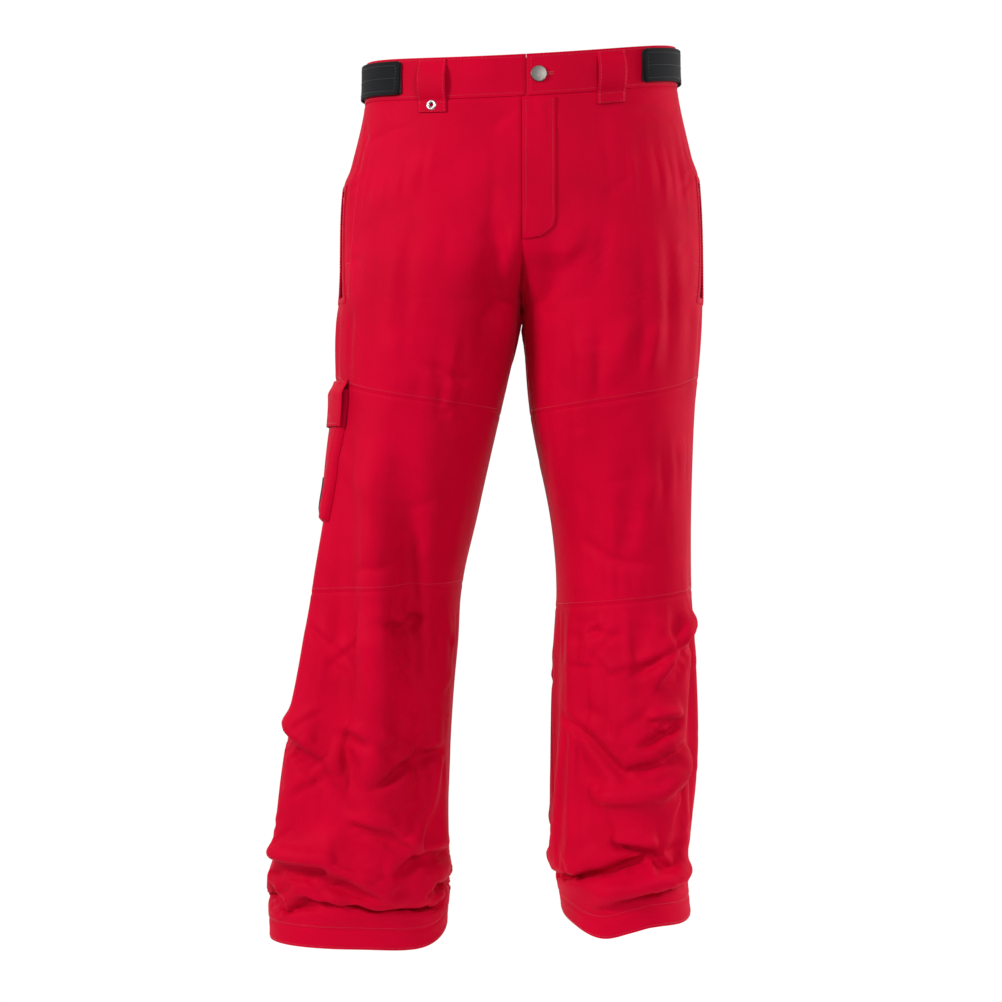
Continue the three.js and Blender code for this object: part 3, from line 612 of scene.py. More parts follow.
    def inner_body(self, folded: dict[Side, Array]) -> bpy.types.Object:
        """Make the body inside the trousers that keeps the cloth open, one tube for each leg."""
        vertices: list[Array] = []
        faces: list[list[int]] = []
        for side in Side:
            turn = np.linspace(0, 1, 29)
            heights = self.row_heights(side, turn)[self.block_start(1) :: 3]
            turns = np.broadcast_to(turn, heights.shape)
            out = self.form.outward(side, np.clip(turns, 0.01, 0.99), heights)
            points = self.form.point(side, turns, heights) - 20 * out
            points[..., 0] = side.value * np.maximum(points[..., 0] * side.value, 1.5)
            base = len(vertices)
            rows, cols = points.shape[:2]
            vertices += list(points.reshape(-1, 3))
            for j in range(rows - 1):
                for i in range(cols - 1):
                    a = base + j * cols + i
                    quad = [a, a + cols, a + cols + 1, a + 1]
                    faces.append(quad if side is Side.LEFT else quad[::-1])
        body = make_mesh("inner_body", np.array(vertices) * MM, faces)
        body.modifiers.new("collide", "COLLISION")
        body.collision.thickness_outer = 0.002
        body.collision.cloth_friction = 8
        return body

    def simulate(self, cloth: bpy.types.Object, body: bpy.types.Object) -> None:
        """Run the cloth simulation and keep its last frame in the mesh."""
        scene = bpy.context.scene
        modifier = cloth.modifiers.new("drape", "CLOTH")
        settings = modifier.settings
        settings.quality = 6
        settings.mass = 0.35
        settings.air_damping = 4
        settings.tension_stiffness = 30
        settings.compression_stiffness = 30
        settings.shear_stiffness = 12
        settings.bending_model = "ANGULAR"
        settings.bending_stiffness = 4
        settings.tension_damping = 20
        settings.compression_damping = 20
        settings.shear_damping = 15
        settings.bending_damping = 2
        settings.vertex_group_mass = "pin"
        settings.pin_stiffness = 2
        modifier.collision_settings.use_collision = True
        modifier.collision_settings.collision_quality = 2
        modifier.collision_settings.distance_min = 0.002
        modifier.point_cache.frame_start = 1
        modifier.point_cache.frame_end = self.frames
        for frame in range(1, self.frames + 1):
            scene.frame_set(frame)
        bpy.ops.object.select_all(action="DESELECT")
        bpy.context.view_layer.objects.active = cloth
        cloth.select_set(True)
        bpy.ops.object.modifier_apply(modifier=modifier.name)
        scene.frame_set(1)

    def refine(self) -> None:
        """Read the settled cloth on a finer grid, then sharpen its folds and keep it true round the openings.

        The cloth lies on its own form round the fly and the hand pocket zips, where the stitched-in parts
        hold it flat.
        """
        fine: dict[Side, Array] = {}
        times = 3
        columns = self.columns * times
        turn = np.linspace(0, 1, columns + 1)
        for side in Side:
            rows = np.arange((self.grids[side].shape[0] - 1) * times + 1) / times
            points, _, _, out = self.frame_at(side, *np.meshgrid(turn, rows))
            heights = self.row_heights(side, turn)
            levels = np.arange(heights.shape[0])
            heights = np.stack([np.interp(rows, levels, heights[:, i]) for i in range(columns + 1)], axis=1)
            turns = np.broadcast_to(turn, heights.shape)
            girth = np.broadcast_to(480.0, heights.shape)
            held = smooth((0.11 - np.abs(turns - 0.45)) / 0.06) * smooth((heights + 315) / 25)
            held *= smooth((-118 - heights) / 25)
            if side is Side.LEFT:
                fly = smooth((0.12 - turns) / 0.035) * smooth((heights + 262) / 25)
                held = np.maximum(held, fly)
            else:
                held = np.maximum(held, smooth((0.045 - turns) / 0.03) * smooth((heights + 262) / 25))
            form = self.form.point(side, turns, heights)
            points = points + (form - points) * held[..., None]
            rise = np.zeros(heights.shape)
            for fold in FOLDS + small_folds(side):
                if fold.side is side:
                    crisp = (
                        fold
                        if fold.rise < 3
                        else replace(fold, rise=0.6 * fold.rise, width=0.45 * fold.width)
                    )
                    rise += self.fold_rise(crisp, turns, heights, girth)
            # Where several creases cross, the cloth doesn't heap up or turn inside out.
            rise = np.clip(rise, -3.5, 5.5)
            edge = np.minimum(turns, 1 - turns)
            rise *= np.where(heights > -self.form.crotch - 5, smooth(edge / 0.02), 1.0)
            rise *= smooth((-self.form.waistband - heights) / 8)
            rise *= 0.15 + 0.85 * smooth((heights - curve(self.seams(side)[-1], turns) - 24) / 40)
            fine[side] = points + out * softened(rise, 2)[..., None]
        self.columns = columns
        self.block_rows = tuple(count * times for count in self.block_rows)
        self.grids = fine

    def rows_at(self, side: Side, turn: Array, height: Array) -> Array:
        """Turn heights into row numbers, at some turns."""
        lines = [curve(s, turn) for s in self.seams(side)]
        row = np.zeros(np.shape(turn))
        for above, below, count in zip(lines[:-1], lines[1:], self.block_rows):
            row = row + count * np.clip((above - height) / (above - below), 0, 1)
        return row

    def at(self, side: Side, turn: Array, row: Array) -> Array:
        """Read the draped cloth between its grid points.

        Args:
            side: The wearer's left or right.
            turn: Shares of the way round that half.
            row: Row numbers, which may lie between rows.

        Returns:
            Points in millimetres.
        """
        grid = self.grids[side]
        turn, row = np.broadcast_arrays(np.asarray(turn, float), np.asarray(row, float))
        u, v = np.clip(turn, 0, 1) * self.columns, np.clip(row, 0, grid.shape[0] - 1)
        iu = np.clip(np.floor(u).astype(int), 0, self.columns - 1)
        iv = np.clip(np.floor(v).astype(int), 0, grid.shape[0] - 2)
        wu, wv = spline_weights(u - iu), spline_weights(v - iv)
        result = np.zeros(turn.shape + (3,))
        for a in range(4):
            ja = np.clip(iv + a - 1, 0, grid.shape[0] - 1)
            for b in range(4):
                raw = iu + b - 1
                wrapped = np.where(
                    raw < 0, raw + self.columns, np.where(raw > self.columns, raw - self.columns, raw)
                )
                clamped = np.clip(raw, 0, self.columns)
                ib = np.where(row > self.crotch_row + 1, wrapped, clamped)
                result += (wv[a] * wu[b])[..., None] * grid[ja, ib]
        return result

    def frame_at(self, side: Side, turn: Array, row: Array) -> tuple[Array, Array, Array, Array]:
        """Read the cloth with its directions.

        Returns:
            Points, and the directions across (the way turn grows), up and out.
        """
        turn, row = np.broadcast_arrays(np.asarray(turn, float), np.asarray(row, float))
        step = 0.5 / self.columns
        across = unit(self.at(side, turn + step, row) - self.at(side, turn - step, row))
        up = unit(self.at(side, turn, row - 0.5) - self.at(side, turn, row + 0.5))
        out = unit(np.cross(across, up)) * side.value
        centre = np.where(row <= self.crotch_row, smooth(np.minimum(turn, 1 - turn) / 0.014), 1.0)
        out = unit(out * np.stack([centre, np.ones_like(centre), np.ones_like(centre)], axis=-1))
        return self.at(side, turn, row), across, up, out


    def spot(
        self, way: Array, height: Array | None = None, row: Array | None = None
    ) -> tuple[Array, Array, Array, Array]:
        """Read the cloth of either half by one number for the way round.

        Args:
            way: 0..1 round the left half from centre front to centre back, then 1..2 round the right half
                back to centre front. A little below 0 is the right half's front.
            height: Levels in millimetres, or None where rows are given.
            row: Row numbers, or None where heights are given.

        Returns:
            Points, and the directions the way grows, up and out.
        """
        way, level = np.broadcast_arrays(
            np.asarray(way, float), np.asarray(height if row is None else row, float)
        )
        round_to = np.where(way < 0, way + 2, way)
        on_left = round_to <= 1
        turn = np.where(on_left, round_to, 2 - round_to)
        parts = [np.zeros(way.shape + (3,)) for _ in range(4)]
        for side in Side:
            mask = on_left if side is Side.LEFT else ~on_left
            if mask.any():
                rows = level[mask] if row is not None else self.rows_at(side, turn[mask], level[mask])
                point, across, up, out = self.frame_at(side, turn[mask], rows)
                for into, value in zip(parts, (point, across * side.value, up, out)):
                    into[mask] = value
        return parts[0], parts[1], parts[2], parts[3]

    def unfolded(self, way: Array, height: Array) -> Array:
        """Give the points of the bare form, with no fold in it, at some ways round and heights."""
        right = (way < 0) | (way > 1)
        turn = np.clip(np.where(way < 0, -way, np.where(way > 1, 2 - way, way)), 0, 1)
        left_points = self.form.point(Side.LEFT, turn, height)
        right_points = self.form.point(Side.RIGHT, turn, height)
        return np.where(right[..., None], right_points, left_points)

    def front_way(self, x: float, height: float) -> float:
        """Find the way round at which the front stands x millimetres from the centre plane."""
        return math.copysign(self.form.front_turn(x, height), x)


def softened(values: Array, times: int) -> Array:
    """Soften a grid of values a little, so that no crease is sharper than the cloth is thick."""
    for _ in range(times):
        for axis in (0, 1):
            padded = np.concatenate(
                [values.take([0], axis), values, values.take([-1], axis)], axis=axis
            )
            count = values.shape[axis]
            before, after = padded.take(range(count), axis), padded.take(range(2, count + 2), axis)
            values = 0.5 * values + 0.25 * (before + after)
    return values


def small_folds(side: Side) -> tuple[Fold, ...]:
    """Scatter the short shallow wrinkles that lie between the large folds, always the same ones."""
    rng = np.random.default_rng(11 + side.value)
    folds = []
    for _ in range(58):
        turn, height = rng.uniform(0.02, 0.94), rng.uniform(-990, -630)
        reach, slope = rng.uniform(0.05, 0.13), rng.uniform(-55, 55)
        kind = VALLEY if rng.uniform() < 0.5 else OVERHANG
        line = ((turn, height), (min(turn + reach, 1.0), height + slope))
        folds.append(Fold(side, line, rng.uniform(1.6, 2.95), rng.uniform(4.5, 9), kind))
    for _ in range(30):
        turn, height = rng.uniform(0.1, 0.95), rng.uniform(-600, -70)
        reach, slope = rng.uniform(0.03, 0.08), rng.uniform(-40, 40)
        line = ((turn, height), (min(turn + reach, 1.0), height + slope))
        folds.append(Fold(side, line, rng.uniform(0.5, 1.3), rng.uniform(5, 10), VALLEY))
    return tuple(folds)


def spline_weights(t: Array) -> list[Array]:
    """Give the four weights of a smooth cubic through grid points."""
    return [
        -0.5 * t + t**2 - 0.5 * t**3,
        1 - 2.5 * t**2 + 1.5 * t**3,
        0.5 * t + 2 * t**2 - 1.5 * t**3,
        -0.5 * t**2 + 0.5 * t**3,
    ]


# ---- Making meshes ---------------------------------------------------------------------------------------


def make_mesh(name: str, points: Array, faces: Sequence[Sequence[int]]) -> bpy.types.Object:
    """Make an object from points in metres and faces."""
    mesh = bpy.data.meshes.new(name)
    mesh.from_pydata([tuple(map(float, p)) for p in points], [], [list(map(int, f)) for f in faces])
    mesh.update()
    piece = bpy.data.objects.new(name, mesh)
    bpy.context.scene.collection.objects.link(piece)
    return piece


def select_only(piece: bpy.types.Object) -> None:
    """Select one object and nothing else."""
    bpy.ops.object.select_all(action="DESELECT")
    piece.select_set(True)
    bpy.context.view_layer.objects.active = piece


def shade(piece: bpy.types.Object, angle: float = 50) -> bpy.types.Object:
    """Shade a piece smooth up to an angle in degrees."""
    select_only(piece)
    bpy.ops.object.shade_smooth_by_angle(angle=math.radians(angle))
    return piece


def apply_modifiers(piece: bpy.types.Object) -> bpy.types.Object:
    """Apply a piece's modifiers in order."""
    select_only(piece)
    for modifier in list(piece.modifiers):
        bpy.ops.object.modifier_apply(modifier=modifier.name)
    return piece


def edge_spaced(count: int, edge: float) -> Array:
    """Space points from 0 to 1, with two extra close to each end.

    Args:
        count: Number of even steps.
        edge: How far in the extra points stand, as a share.

    Returns:
        The positions.
    """
    even = np.linspace(0, 1, count + 1)
    extra = [edge * 0.4, edge, 1 - edge, 1 - edge * 0.4]
    inside = even[(even > edge * 1.3) & (even < 1 - edge * 1.3)]
    return np.unique(np.round(np.concatenate([[0, 1], inside, extra]), 6))


def run_and_drop(points: Array) -> tuple[Array, Array]:
    """Measure a grid of points along its rows and down its columns, from the first of each."""
    girth = np.linalg.norm(np.diff(points, axis=1), axis=-1)
    run = np.concatenate([np.zeros((len(points), 1)), np.cumsum(girth, axis=1)], axis=1)
    fall = np.linalg.norm(np.diff(points, axis=0), axis=-1)
    drop = np.concatenate([np.zeros((1, points.shape[1])), np.cumsum(fall, axis=0)], axis=0)
    return run, drop


def cloth_sheet(
    name: str, outer: Array, inner: Array, ring: bool = False, keep: Array | None = None
) -> bpy.types.Object:
    """Close a sheet of cloth between two grids of points in millimetres.

    Args:
        name: The piece's name.
        outer: Outer face, rows by columns by 3, with columns running anticlockwise seen from above.
        inner: Inner face, the same size.
        ring: True where the last column meets the first.
        keep: Which cells to keep, one less each way than the points unless ring. None keeps all.

    Returns:
        The closed piece with a UV map in metres. Its inner faces have the material index 1.
    """
    rows, cols = outer.shape[:2]
    run, drop = run_and_drop(outer)
    coords = np.stack([run - run.mean(axis=1, keepdims=True), -drop], axis=-1).reshape(-1, 2) * MM
    coords = np.concatenate([coords, coords])
    both = np.concatenate([outer.reshape(-1, 3), inner.reshape(-1, 3)]) * MM
    layer = rows * cols
    last = cols if ring else cols - 1
    if keep is None:
        keep = np.ones((rows - 1, last), bool)
    faces: list[tuple[int, ...]] = []
    inside: list[int] = []

    def kept(j: int, i: int) -> bool:
        i = i % cols if ring else i
        return 0 <= j < rows - 1 and 0 <= i < last and bool(keep[j, i])

    for j in range(rows - 1):
        for i in range(last):
            if not keep[j, i]:
                continue
            n = (i + 1) % cols
            a, b, c, d = j * cols + i, (j + 1) * cols + i, (j + 1) * cols + n, j * cols + n
            faces += [(a, b, c, d), (layer + a, layer + d, layer + c, layer + b)]
            inside.append(len(faces) - 1)
            walls = ((a, d, j - 1, i), (c, b, j + 1, i), (b, a, j, i - 1), (d, c, j, i + 1))
            faces += [(p, q, layer + q, layer + p) for p, q, nj, ni in walls if not kept(nj, ni)]
    used = np.unique(np.concatenate([np.array(f) for f in faces]))
    renumber = np.full(2 * layer, -1)
    renumber[used] = np.arange(len(used))
    piece = make_mesh(name, both[used], [renumber[list(f)] for f in faces])
    uv = piece.data.uv_layers.new(name="cloth")
    loops = np.empty(len(piece.data.loops), int)
    piece.data.loops.foreach_get("vertex_index", loops)
    uv.data.foreach_set("uv", coords[used][loops].ravel())
    index = np.zeros(len(piece.data.polygons), int)
    index[inside] = 1
    piece.data.polygons.foreach_set("material_index", index)
    return shade(piece)


def cut_size(points: Array, ring: bool = False) -> tuple[tuple[float, float], float]:
    """Measure a piece's flat cut on the form it is cut for, before any fold or gather is in it.

    Args:
        points: The grid of points on the form, in millimetres.
        ring: Whether the rows close on themselves.

    Returns:
        The width and length of the cut, and its area, in metres.
    """
    if ring:
        points = np.concatenate([points, points[:, :1]], axis=1)
    run, drop = run_and_drop(points)
    across = points[1:, 1:] - points[:-1, :-1]
    other = points[1:, :-1] - points[:-1, 1:]
    area = 0.5 * float(np.linalg.norm(np.cross(across, other), axis=-1).sum())
    return (float(run[:, -1].max()) * MM, float(drop[-1].max()) * MM), area * MM * MM


def cut_grid() -> list[Array]:
    """Give the shares across and down that a laid piece's cut is measured at."""
    return np.meshgrid(np.linspace(0, 1, 41), np.linspace(0, 1, 41))


def declare_sheet(piece: bpy.types.Object, flat: tuple[float, float], area: float | None) -> None:
    """Log a sheet's cut, and how its cloth compares with that cut."""
    cloth = sum(p.area for p in piece.data.polygons) / 2
    cut = area or flat[0] * flat[1]
    LOG.info("%s: cut %.3f x %.3f m, area %.4f m2, cloth to cut %.3f", piece.name, *flat, cut, cloth / cut)


def lay(
    drape: Drape,
    name: str,
    steps: tuple[int, int],
    place: Callable[[Array, Array], tuple[Array, Array]],
    low: Array | float | Callable[[Array, Array], Array],
    thickness: float,
    body: str,
    finish: bpy.types.Material,
    back: bpy.types.Material | None = None,
    edge: float = 0.012,
) -> tuple[bpy.types.Object, Array]:
    """Lay a flat piece on the draped cloth.

    Args:
        drape: The draped cloth.
        name: The piece's name.
        steps: How many steps across and down it has.
        place: Turns shares across and down, 0..1, to the way round and height.
        low: How far its underside stands off the cloth in millimetres, or a function of the shares.
        thickness: Its thickness in millimetres.
        body: The body it rides, or an empty string to leave it on no body.
        finish: Its material.
        back: The material of its inner face, or None for the same.
        edge: How far in the rounding of its edge reaches, as a share.

    Returns:
        The piece and the grid of its outer face in millimetres.
    """
    u, v = np.meshgrid(edge_spaced(steps[0], edge), edge_spaced(steps[1], edge))
    way, height = place(u, v)
    point, _, _, out = drape.spot(way, height)
    base = low(u, v) if callable(low) else np.broadcast_to(low, u.shape)
    near = np.minimum(np.minimum(u, 1 - u), np.minimum(v, 1 - v)) / edge
    round_off = 0.42 * thickness * (1 - np.sqrt(np.clip(near, 0, 1)))
    outer = point + out * (base + thickness - round_off)[..., None]
    inner = point + out * (base + 0.3 * round_off)[..., None]
    piece = cloth_sheet(name, outer, inner)
    piece.data.materials.append(finish)
    piece.data.materials.append(back or finish)
    if body:
        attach(piece, body)
    return piece, outer


def strip_place(
    drape: Drape, left: float, right: float, top: float, bottom: float
) -> Callable[[Array, Array], tuple[Array, Array]]:
    """Place a strip by its edges' distances from the centre plane on the front, and its heights."""

    def place(u: Array, v: Array) -> tuple[Array, Array]:
        height = top + (bottom - top) * v
        levels = np.linspace(bottom, top, 7)
        a = np.interp(height, levels, [drape.front_way(left, h) for h in levels])
        b = np.interp(height, levels, [drape.front_way(right, h) for h in levels])
        return a + (b - a) * u, height

    return place


def way_place(
    left: float, right: float, top: float, bottom: float
) -> Callable[[Array, Array], tuple[Array, Array]]:
    """Place a strip by its ways round and heights."""
    return lambda u, v: (left + (right - left) * u, top + (bottom - top) * v)


# ---- Stitches --------------------------------------------------------------------------------------------


@dataclass
class Stitching:
    """Lines of sewn stitches, each stitch a short dash of thread half sunk in the cloth."""

    drape: Drape
    thread: bpy.types.Material
    length: float = 2.7
    gap: float = 0.9
    width: float = 0.62
    ends: list[tuple[Array, Array, Array]] = field(default_factory=list)

    def line(self, ways: Sequence[float], heights: Sequence[float], lift: float) -> "Stitching":
        """Add a line of stitches.

        Args:
            ways: Ways round at points along the line.
            heights: Heights at those points.
            lift: How far the thread's middle stands off the draped cloth, in millimetres.

        Returns:
            This group of stitches.
        """
        share = np.linspace(0, 1, len(ways))
        fine = np.linspace(0, 1, 260)
        way, height = np.interp(fine, share, ways), np.interp(fine, share, heights)
        point, _, _, out = self.drape.spot(way, height)
        self.along(point + out * lift, out)
        return self

    def along(self, points: Array, outs: Array) -> "Stitching":
        """Add stitches along a line of points in millimetres, with their outward directions."""
        lengths = np.concatenate([[0], np.cumsum(np.linalg.norm(np.diff(points, axis=0), axis=1))])
        pitch = self.length + self.gap
        count = max(int(lengths[-1] / pitch), 1)
        starts = (np.arange(count) + 0.5) * lengths[-1] / count - self.length / 2
        read = lambda s: np.stack([np.interp(s, lengths, points[:, k]) for k in range(3)], axis=-1)
        outward = np.stack([np.interp(starts, lengths, outs[:, k]) for k in range(3)], axis=-1)
        self.ends.append((read(starts), read(starts + self.length), unit(outward)))
        return self

    def build(self, name: str) -> bpy.types.Object:
        """Make all the lines' stitches as one piece, with eight faces to a stitch."""
        first = np.concatenate([e[0] for e in self.ends])
        second = np.concatenate([e[1] for e in self.ends])
        out = np.concatenate([e[2] for e in self.ends])
        across = unit(np.cross(second - first, out)) * self.width / 2
        middle = (first + second) / 2
        high = out * self.width * 0.5
        corners = np.stack([first, second, middle + across, middle - across, middle + high, middle - high], 1)
        turn = ((0, 2, 4), (2, 1, 4), (1, 3, 4), (3, 0, 4), (2, 0, 5), (1, 2, 5), (3, 1, 5), (0, 3, 5))
        faces = [[6 * k + c for c in face] for k in range(len(first)) for face in turn]
        piece = make_mesh(name, corners.reshape(-1, 3) * MM, faces)
        piece.data.materials.append(self.thread)
        return shade(piece, 80)


# ---- Materials -------------------------------------------------------------------------------------------


def linear(code: str) -> tuple[float, float, float, float]:
    """Turn an sRGB hex colour to linear light."""
    parts = [int(code[i : i + 2], 16) / 255 for i in (0, 2, 4)]
    return (*((c / 12.92 if c <= 0.04045 else ((c + 0.055) / 1.055) ** 2.4) for c in parts), 1.0)


def add_node(tree: bpy.types.NodeTree, kind: str, links: dict | None = None, **settings) -> bpy.types.Node:
    """Add a shader node.

    Args:
        tree: The material's node tree.
        kind: The node's type, without the ShaderNode prefix.
        links: Input name or number to an output socket or a constant.
        settings: Properties of the node.

    Returns:
        The node.
    """
    node = tree.nodes.new("ShaderNode" + kind)
    for key, value in settings.items():
        setattr(node, key, value)
    for key, value in (links or {}).items():
        if isinstance(value, bpy.types.NodeSocket):
            tree.links.new(value, node.inputs[key])
        else:
            node.inputs[key].default_value = value
    return node


def new_surface(name: str) -> tuple[bpy.types.Material, bpy.types.NodeTree, bpy.types.Node]:
    """Make a material and give it with its node tree and its surface node."""
    material = bpy.data.materials.new(name)
    material.use_nodes = True
    return material, material.node_tree, material.node_tree.nodes["Principled BSDF"]


def two_tones(
    tree: bpy.types.NodeTree, fac: bpy.types.NodeSocket, dark: str, light: str
) -> bpy.types.NodeSocket:
    """Ramp between two colours over the middle of a factor."""
    ramp = add_node(tree, "ValToRGB", {"Fac": fac})
    for element, place, code in zip(ramp.color_ramp.elements, (0.3, 0.7), (dark, light)):
        element.position = place
        element.color = linear(code)
    return ramp.outputs["Color"]


def spread(
    tree: bpy.types.NodeTree, value: bpy.types.NodeSocket, low: float, high: float
) -> bpy.types.NodeSocket:
    """Map the middle of a noise to a range."""
    links = {"Value": value, "From Min": 0.3, "From Max": 0.7, "To Min": low, "To Max": high}
    return add_node(tree, "MapRange", links).outputs[0]


def bands(
    tree: bpy.types.NodeTree, place: bpy.types.NodeSocket, pitch: float, direction: str
) -> bpy.types.NodeSocket:
    """Make wavy bands of a pitch in millimetres along one axis."""
    links = {"Vector": place, "Scale": math.pi / 10 / (pitch * MM), "Distortion": 0.3, "Detail": 1.0}
    node = add_node(tree, "TexWave", links, wave_type="BANDS", bands_direction=direction)
    return node.outputs["Fac"]


@dataclass(frozen=True)
class WovenCloth:
    """A plain woven cloth: threads over and under, a soft sheen from fibre ends, and slight unevenness.

    Real threads of this cloth stand about 0.3 mm apart. They are drawn coarser, so that the weave is seen
    at arm's length instead of turning into noise.
    """

    name: str
    colour: str
    shade_colour: str
    pitch: float = 1.1
    depth: float = 0.12
    roughness: float = 0.6
    sheen: float = 0.2
    sheen_colour: str = "ff9aa4"
    specular: float = 0.16
    crumple: float = 0.9

    def build(self) -> bpy.types.Material:
        """Build the node tree on the cloth's own UV map, in metres."""
        material, tree, surface = new_surface(self.name)
        uv = add_node(tree, "UVMap", uv_map="cloth").outputs["UV"]
        over, under = (bands(tree, uv, self.pitch, direction) for direction in "XY")
        weave = add_node(tree, "Math", {0: over, 1: under}, operation="MULTIPLY").outputs[0]
        place = add_node(tree, "TexCoord").outputs["Object"]
        soft = add_node(tree, "TexNoise", {"Vector": place, "Scale": 14.0, "Detail": 3.0, "Roughness": 0.55})
        fine = add_node(tree, "TexNoise", {"Vector": place, "Scale": 900.0, "Detail": 2.0})
        creased = add_node(
            tree,
            "TexNoise",
            {"Vector": place, "Scale": 34.0, "Detail": 3.0, "Roughness": 0.45, "Distortion": 0.9},
        )
        tone = two_tones(tree, soft.outputs["Fac"], self.shade_colour, self.colour)
        thread = add_node(tree, "MapRange", {"Value": weave, "To Min": 0.93, "To Max": 1.05}).outputs[0]
        grey = add_node(tree, "CombineColor", {"Red": thread, "Green": thread, "Blue": thread})
        tint = add_node(
            tree, "Mix", {0: 1.0, 6: tone, 7: grey.outputs[0]}, data_type="RGBA", blend_type="MULTIPLY"
        )
        tree.links.new(tint.outputs[2], surface.inputs["Base Color"])
        rough = spread(tree, fine.outputs["Fac"], self.roughness - 0.05, self.roughness + 0.08)
        tree.links.new(rough, surface.inputs["Roughness"])
        relief = add_node(tree, "Math", {0: fine.outputs["Fac"], 1: 0.35, 2: weave}, operation="MULTIPLY_ADD")
        wrinkled = add_node(
            tree, "Bump", {"Height": creased.outputs["Fac"], "Distance": self.crumple * MM, "Strength": 0.5}
        )
        links = {"Height": relief.outputs[0], "Distance": self.depth * MM, "Strength": 0.55}
        bump = add_node(tree, "Bump", {**links, "Normal": wrinkled.outputs["Normal"]})
        tree.links.new(bump.outputs["Normal"], surface.inputs["Normal"])
        surface.inputs["Sheen Weight"].default_value = self.sheen
        surface.inputs["Sheen Roughness"].default_value = 0.4
        surface.inputs["Sheen Tint"].default_value = linear(self.sheen_colour)
        surface.inputs["Specular IOR Level"].default_value = self.specular
        return material


@dataclass(frozen=True)
class RibbedTape:
    """A webbing or elastic: raised ribs across its length and a finer weave between them."""

    name: str
    colour: str
    light_colour: str
    rib: float
    depth: float
    ribs_along: str = "Y"

    def build(self) -> bpy.types.Material:
        """Build the node tree on the tape's own UV map, in metres."""
        material, tree, surface = new_surface(self.name)
        uv = add_node(tree, "UVMap", uv_map="cloth").outputs["UV"]
        ribs = bands(tree, uv, self.rib, self.ribs_along)
        weft = bands(tree, uv, self.rib * 0.6, "X" if self.ribs_along == "Y" else "Y")
        place = add_node(tree, "TexCoord").outputs["Object"]
        fuzz = add_node(tree, "TexNoise", {"Vector": place, "Scale": 700.0, "Detail": 3.0}).outputs["Fac"]
        height = add_node(tree, "Math", {0: weft, 1: 0.35, 2: ribs}, operation="MULTIPLY_ADD").outputs[0]
        tree.links.new(two_tones(tree, fuzz, self.colour, self.light_colour), surface.inputs["Base Color"])
        tree.links.new(spread(tree, fuzz, 0.66, 0.86), surface.inputs["Roughness"])
        bump = add_node(tree, "Bump", {"Height": height, "Distance": self.depth * MM, "Strength": 0.8})
        tree.links.new(bump.outputs["Normal"], surface.inputs["Normal"])
        surface.inputs["Sheen Weight"].default_value = 0.04
        surface.inputs["Specular IOR Level"].default_value = 0.12
        return material


@dataclass(frozen=True)
class Grained:
    """A finish in the object's own coordinates: grains or fibres of one size, on plastic, pile or metal."""

    name: str
    colour: str
    light_colour: str
    grain: float
    depth: float
    roughness: float
    metallic: float = 0.0
    sheen: float = 0.0
    stretch: tuple[float, float, float] = (1, 1, 1)

    def build(self) -> bpy.types.Material:
        """Build the node tree."""
        material, tree, surface = new_surface(self.name)
        place = add_node(tree, "TexCoord").outputs["Object"]
        mapped = add_node(tree, "Mapping", {"Vector": place, "Scale": self.stretch}).outputs[0]
        grain = add_node(tree, "TexNoise", {"Vector": mapped, "Scale": 1 / (self.grain * MM), "Detail": 4.0})
        fac = grain.outputs["Fac"]
        tree.links.new(two_tones(tree, fac, self.colour, self.light_colour), surface.inputs["Base Color"])
        tree.links.new(
            spread(tree, fac, self.roughness - 0.06, self.roughness + 0.08), surface.inputs["Roughness"]
        )
        bump = add_node(tree, "Bump", {"Height": fac, "Distance": self.depth * MM, "Strength": 0.6})
        tree.links.new(bump.outputs["Normal"], surface.inputs["Normal"])
        surface.inputs["Metallic"].default_value = self.metallic
        surface.inputs["Sheen Weight"].default_value = self.sheen
        return material


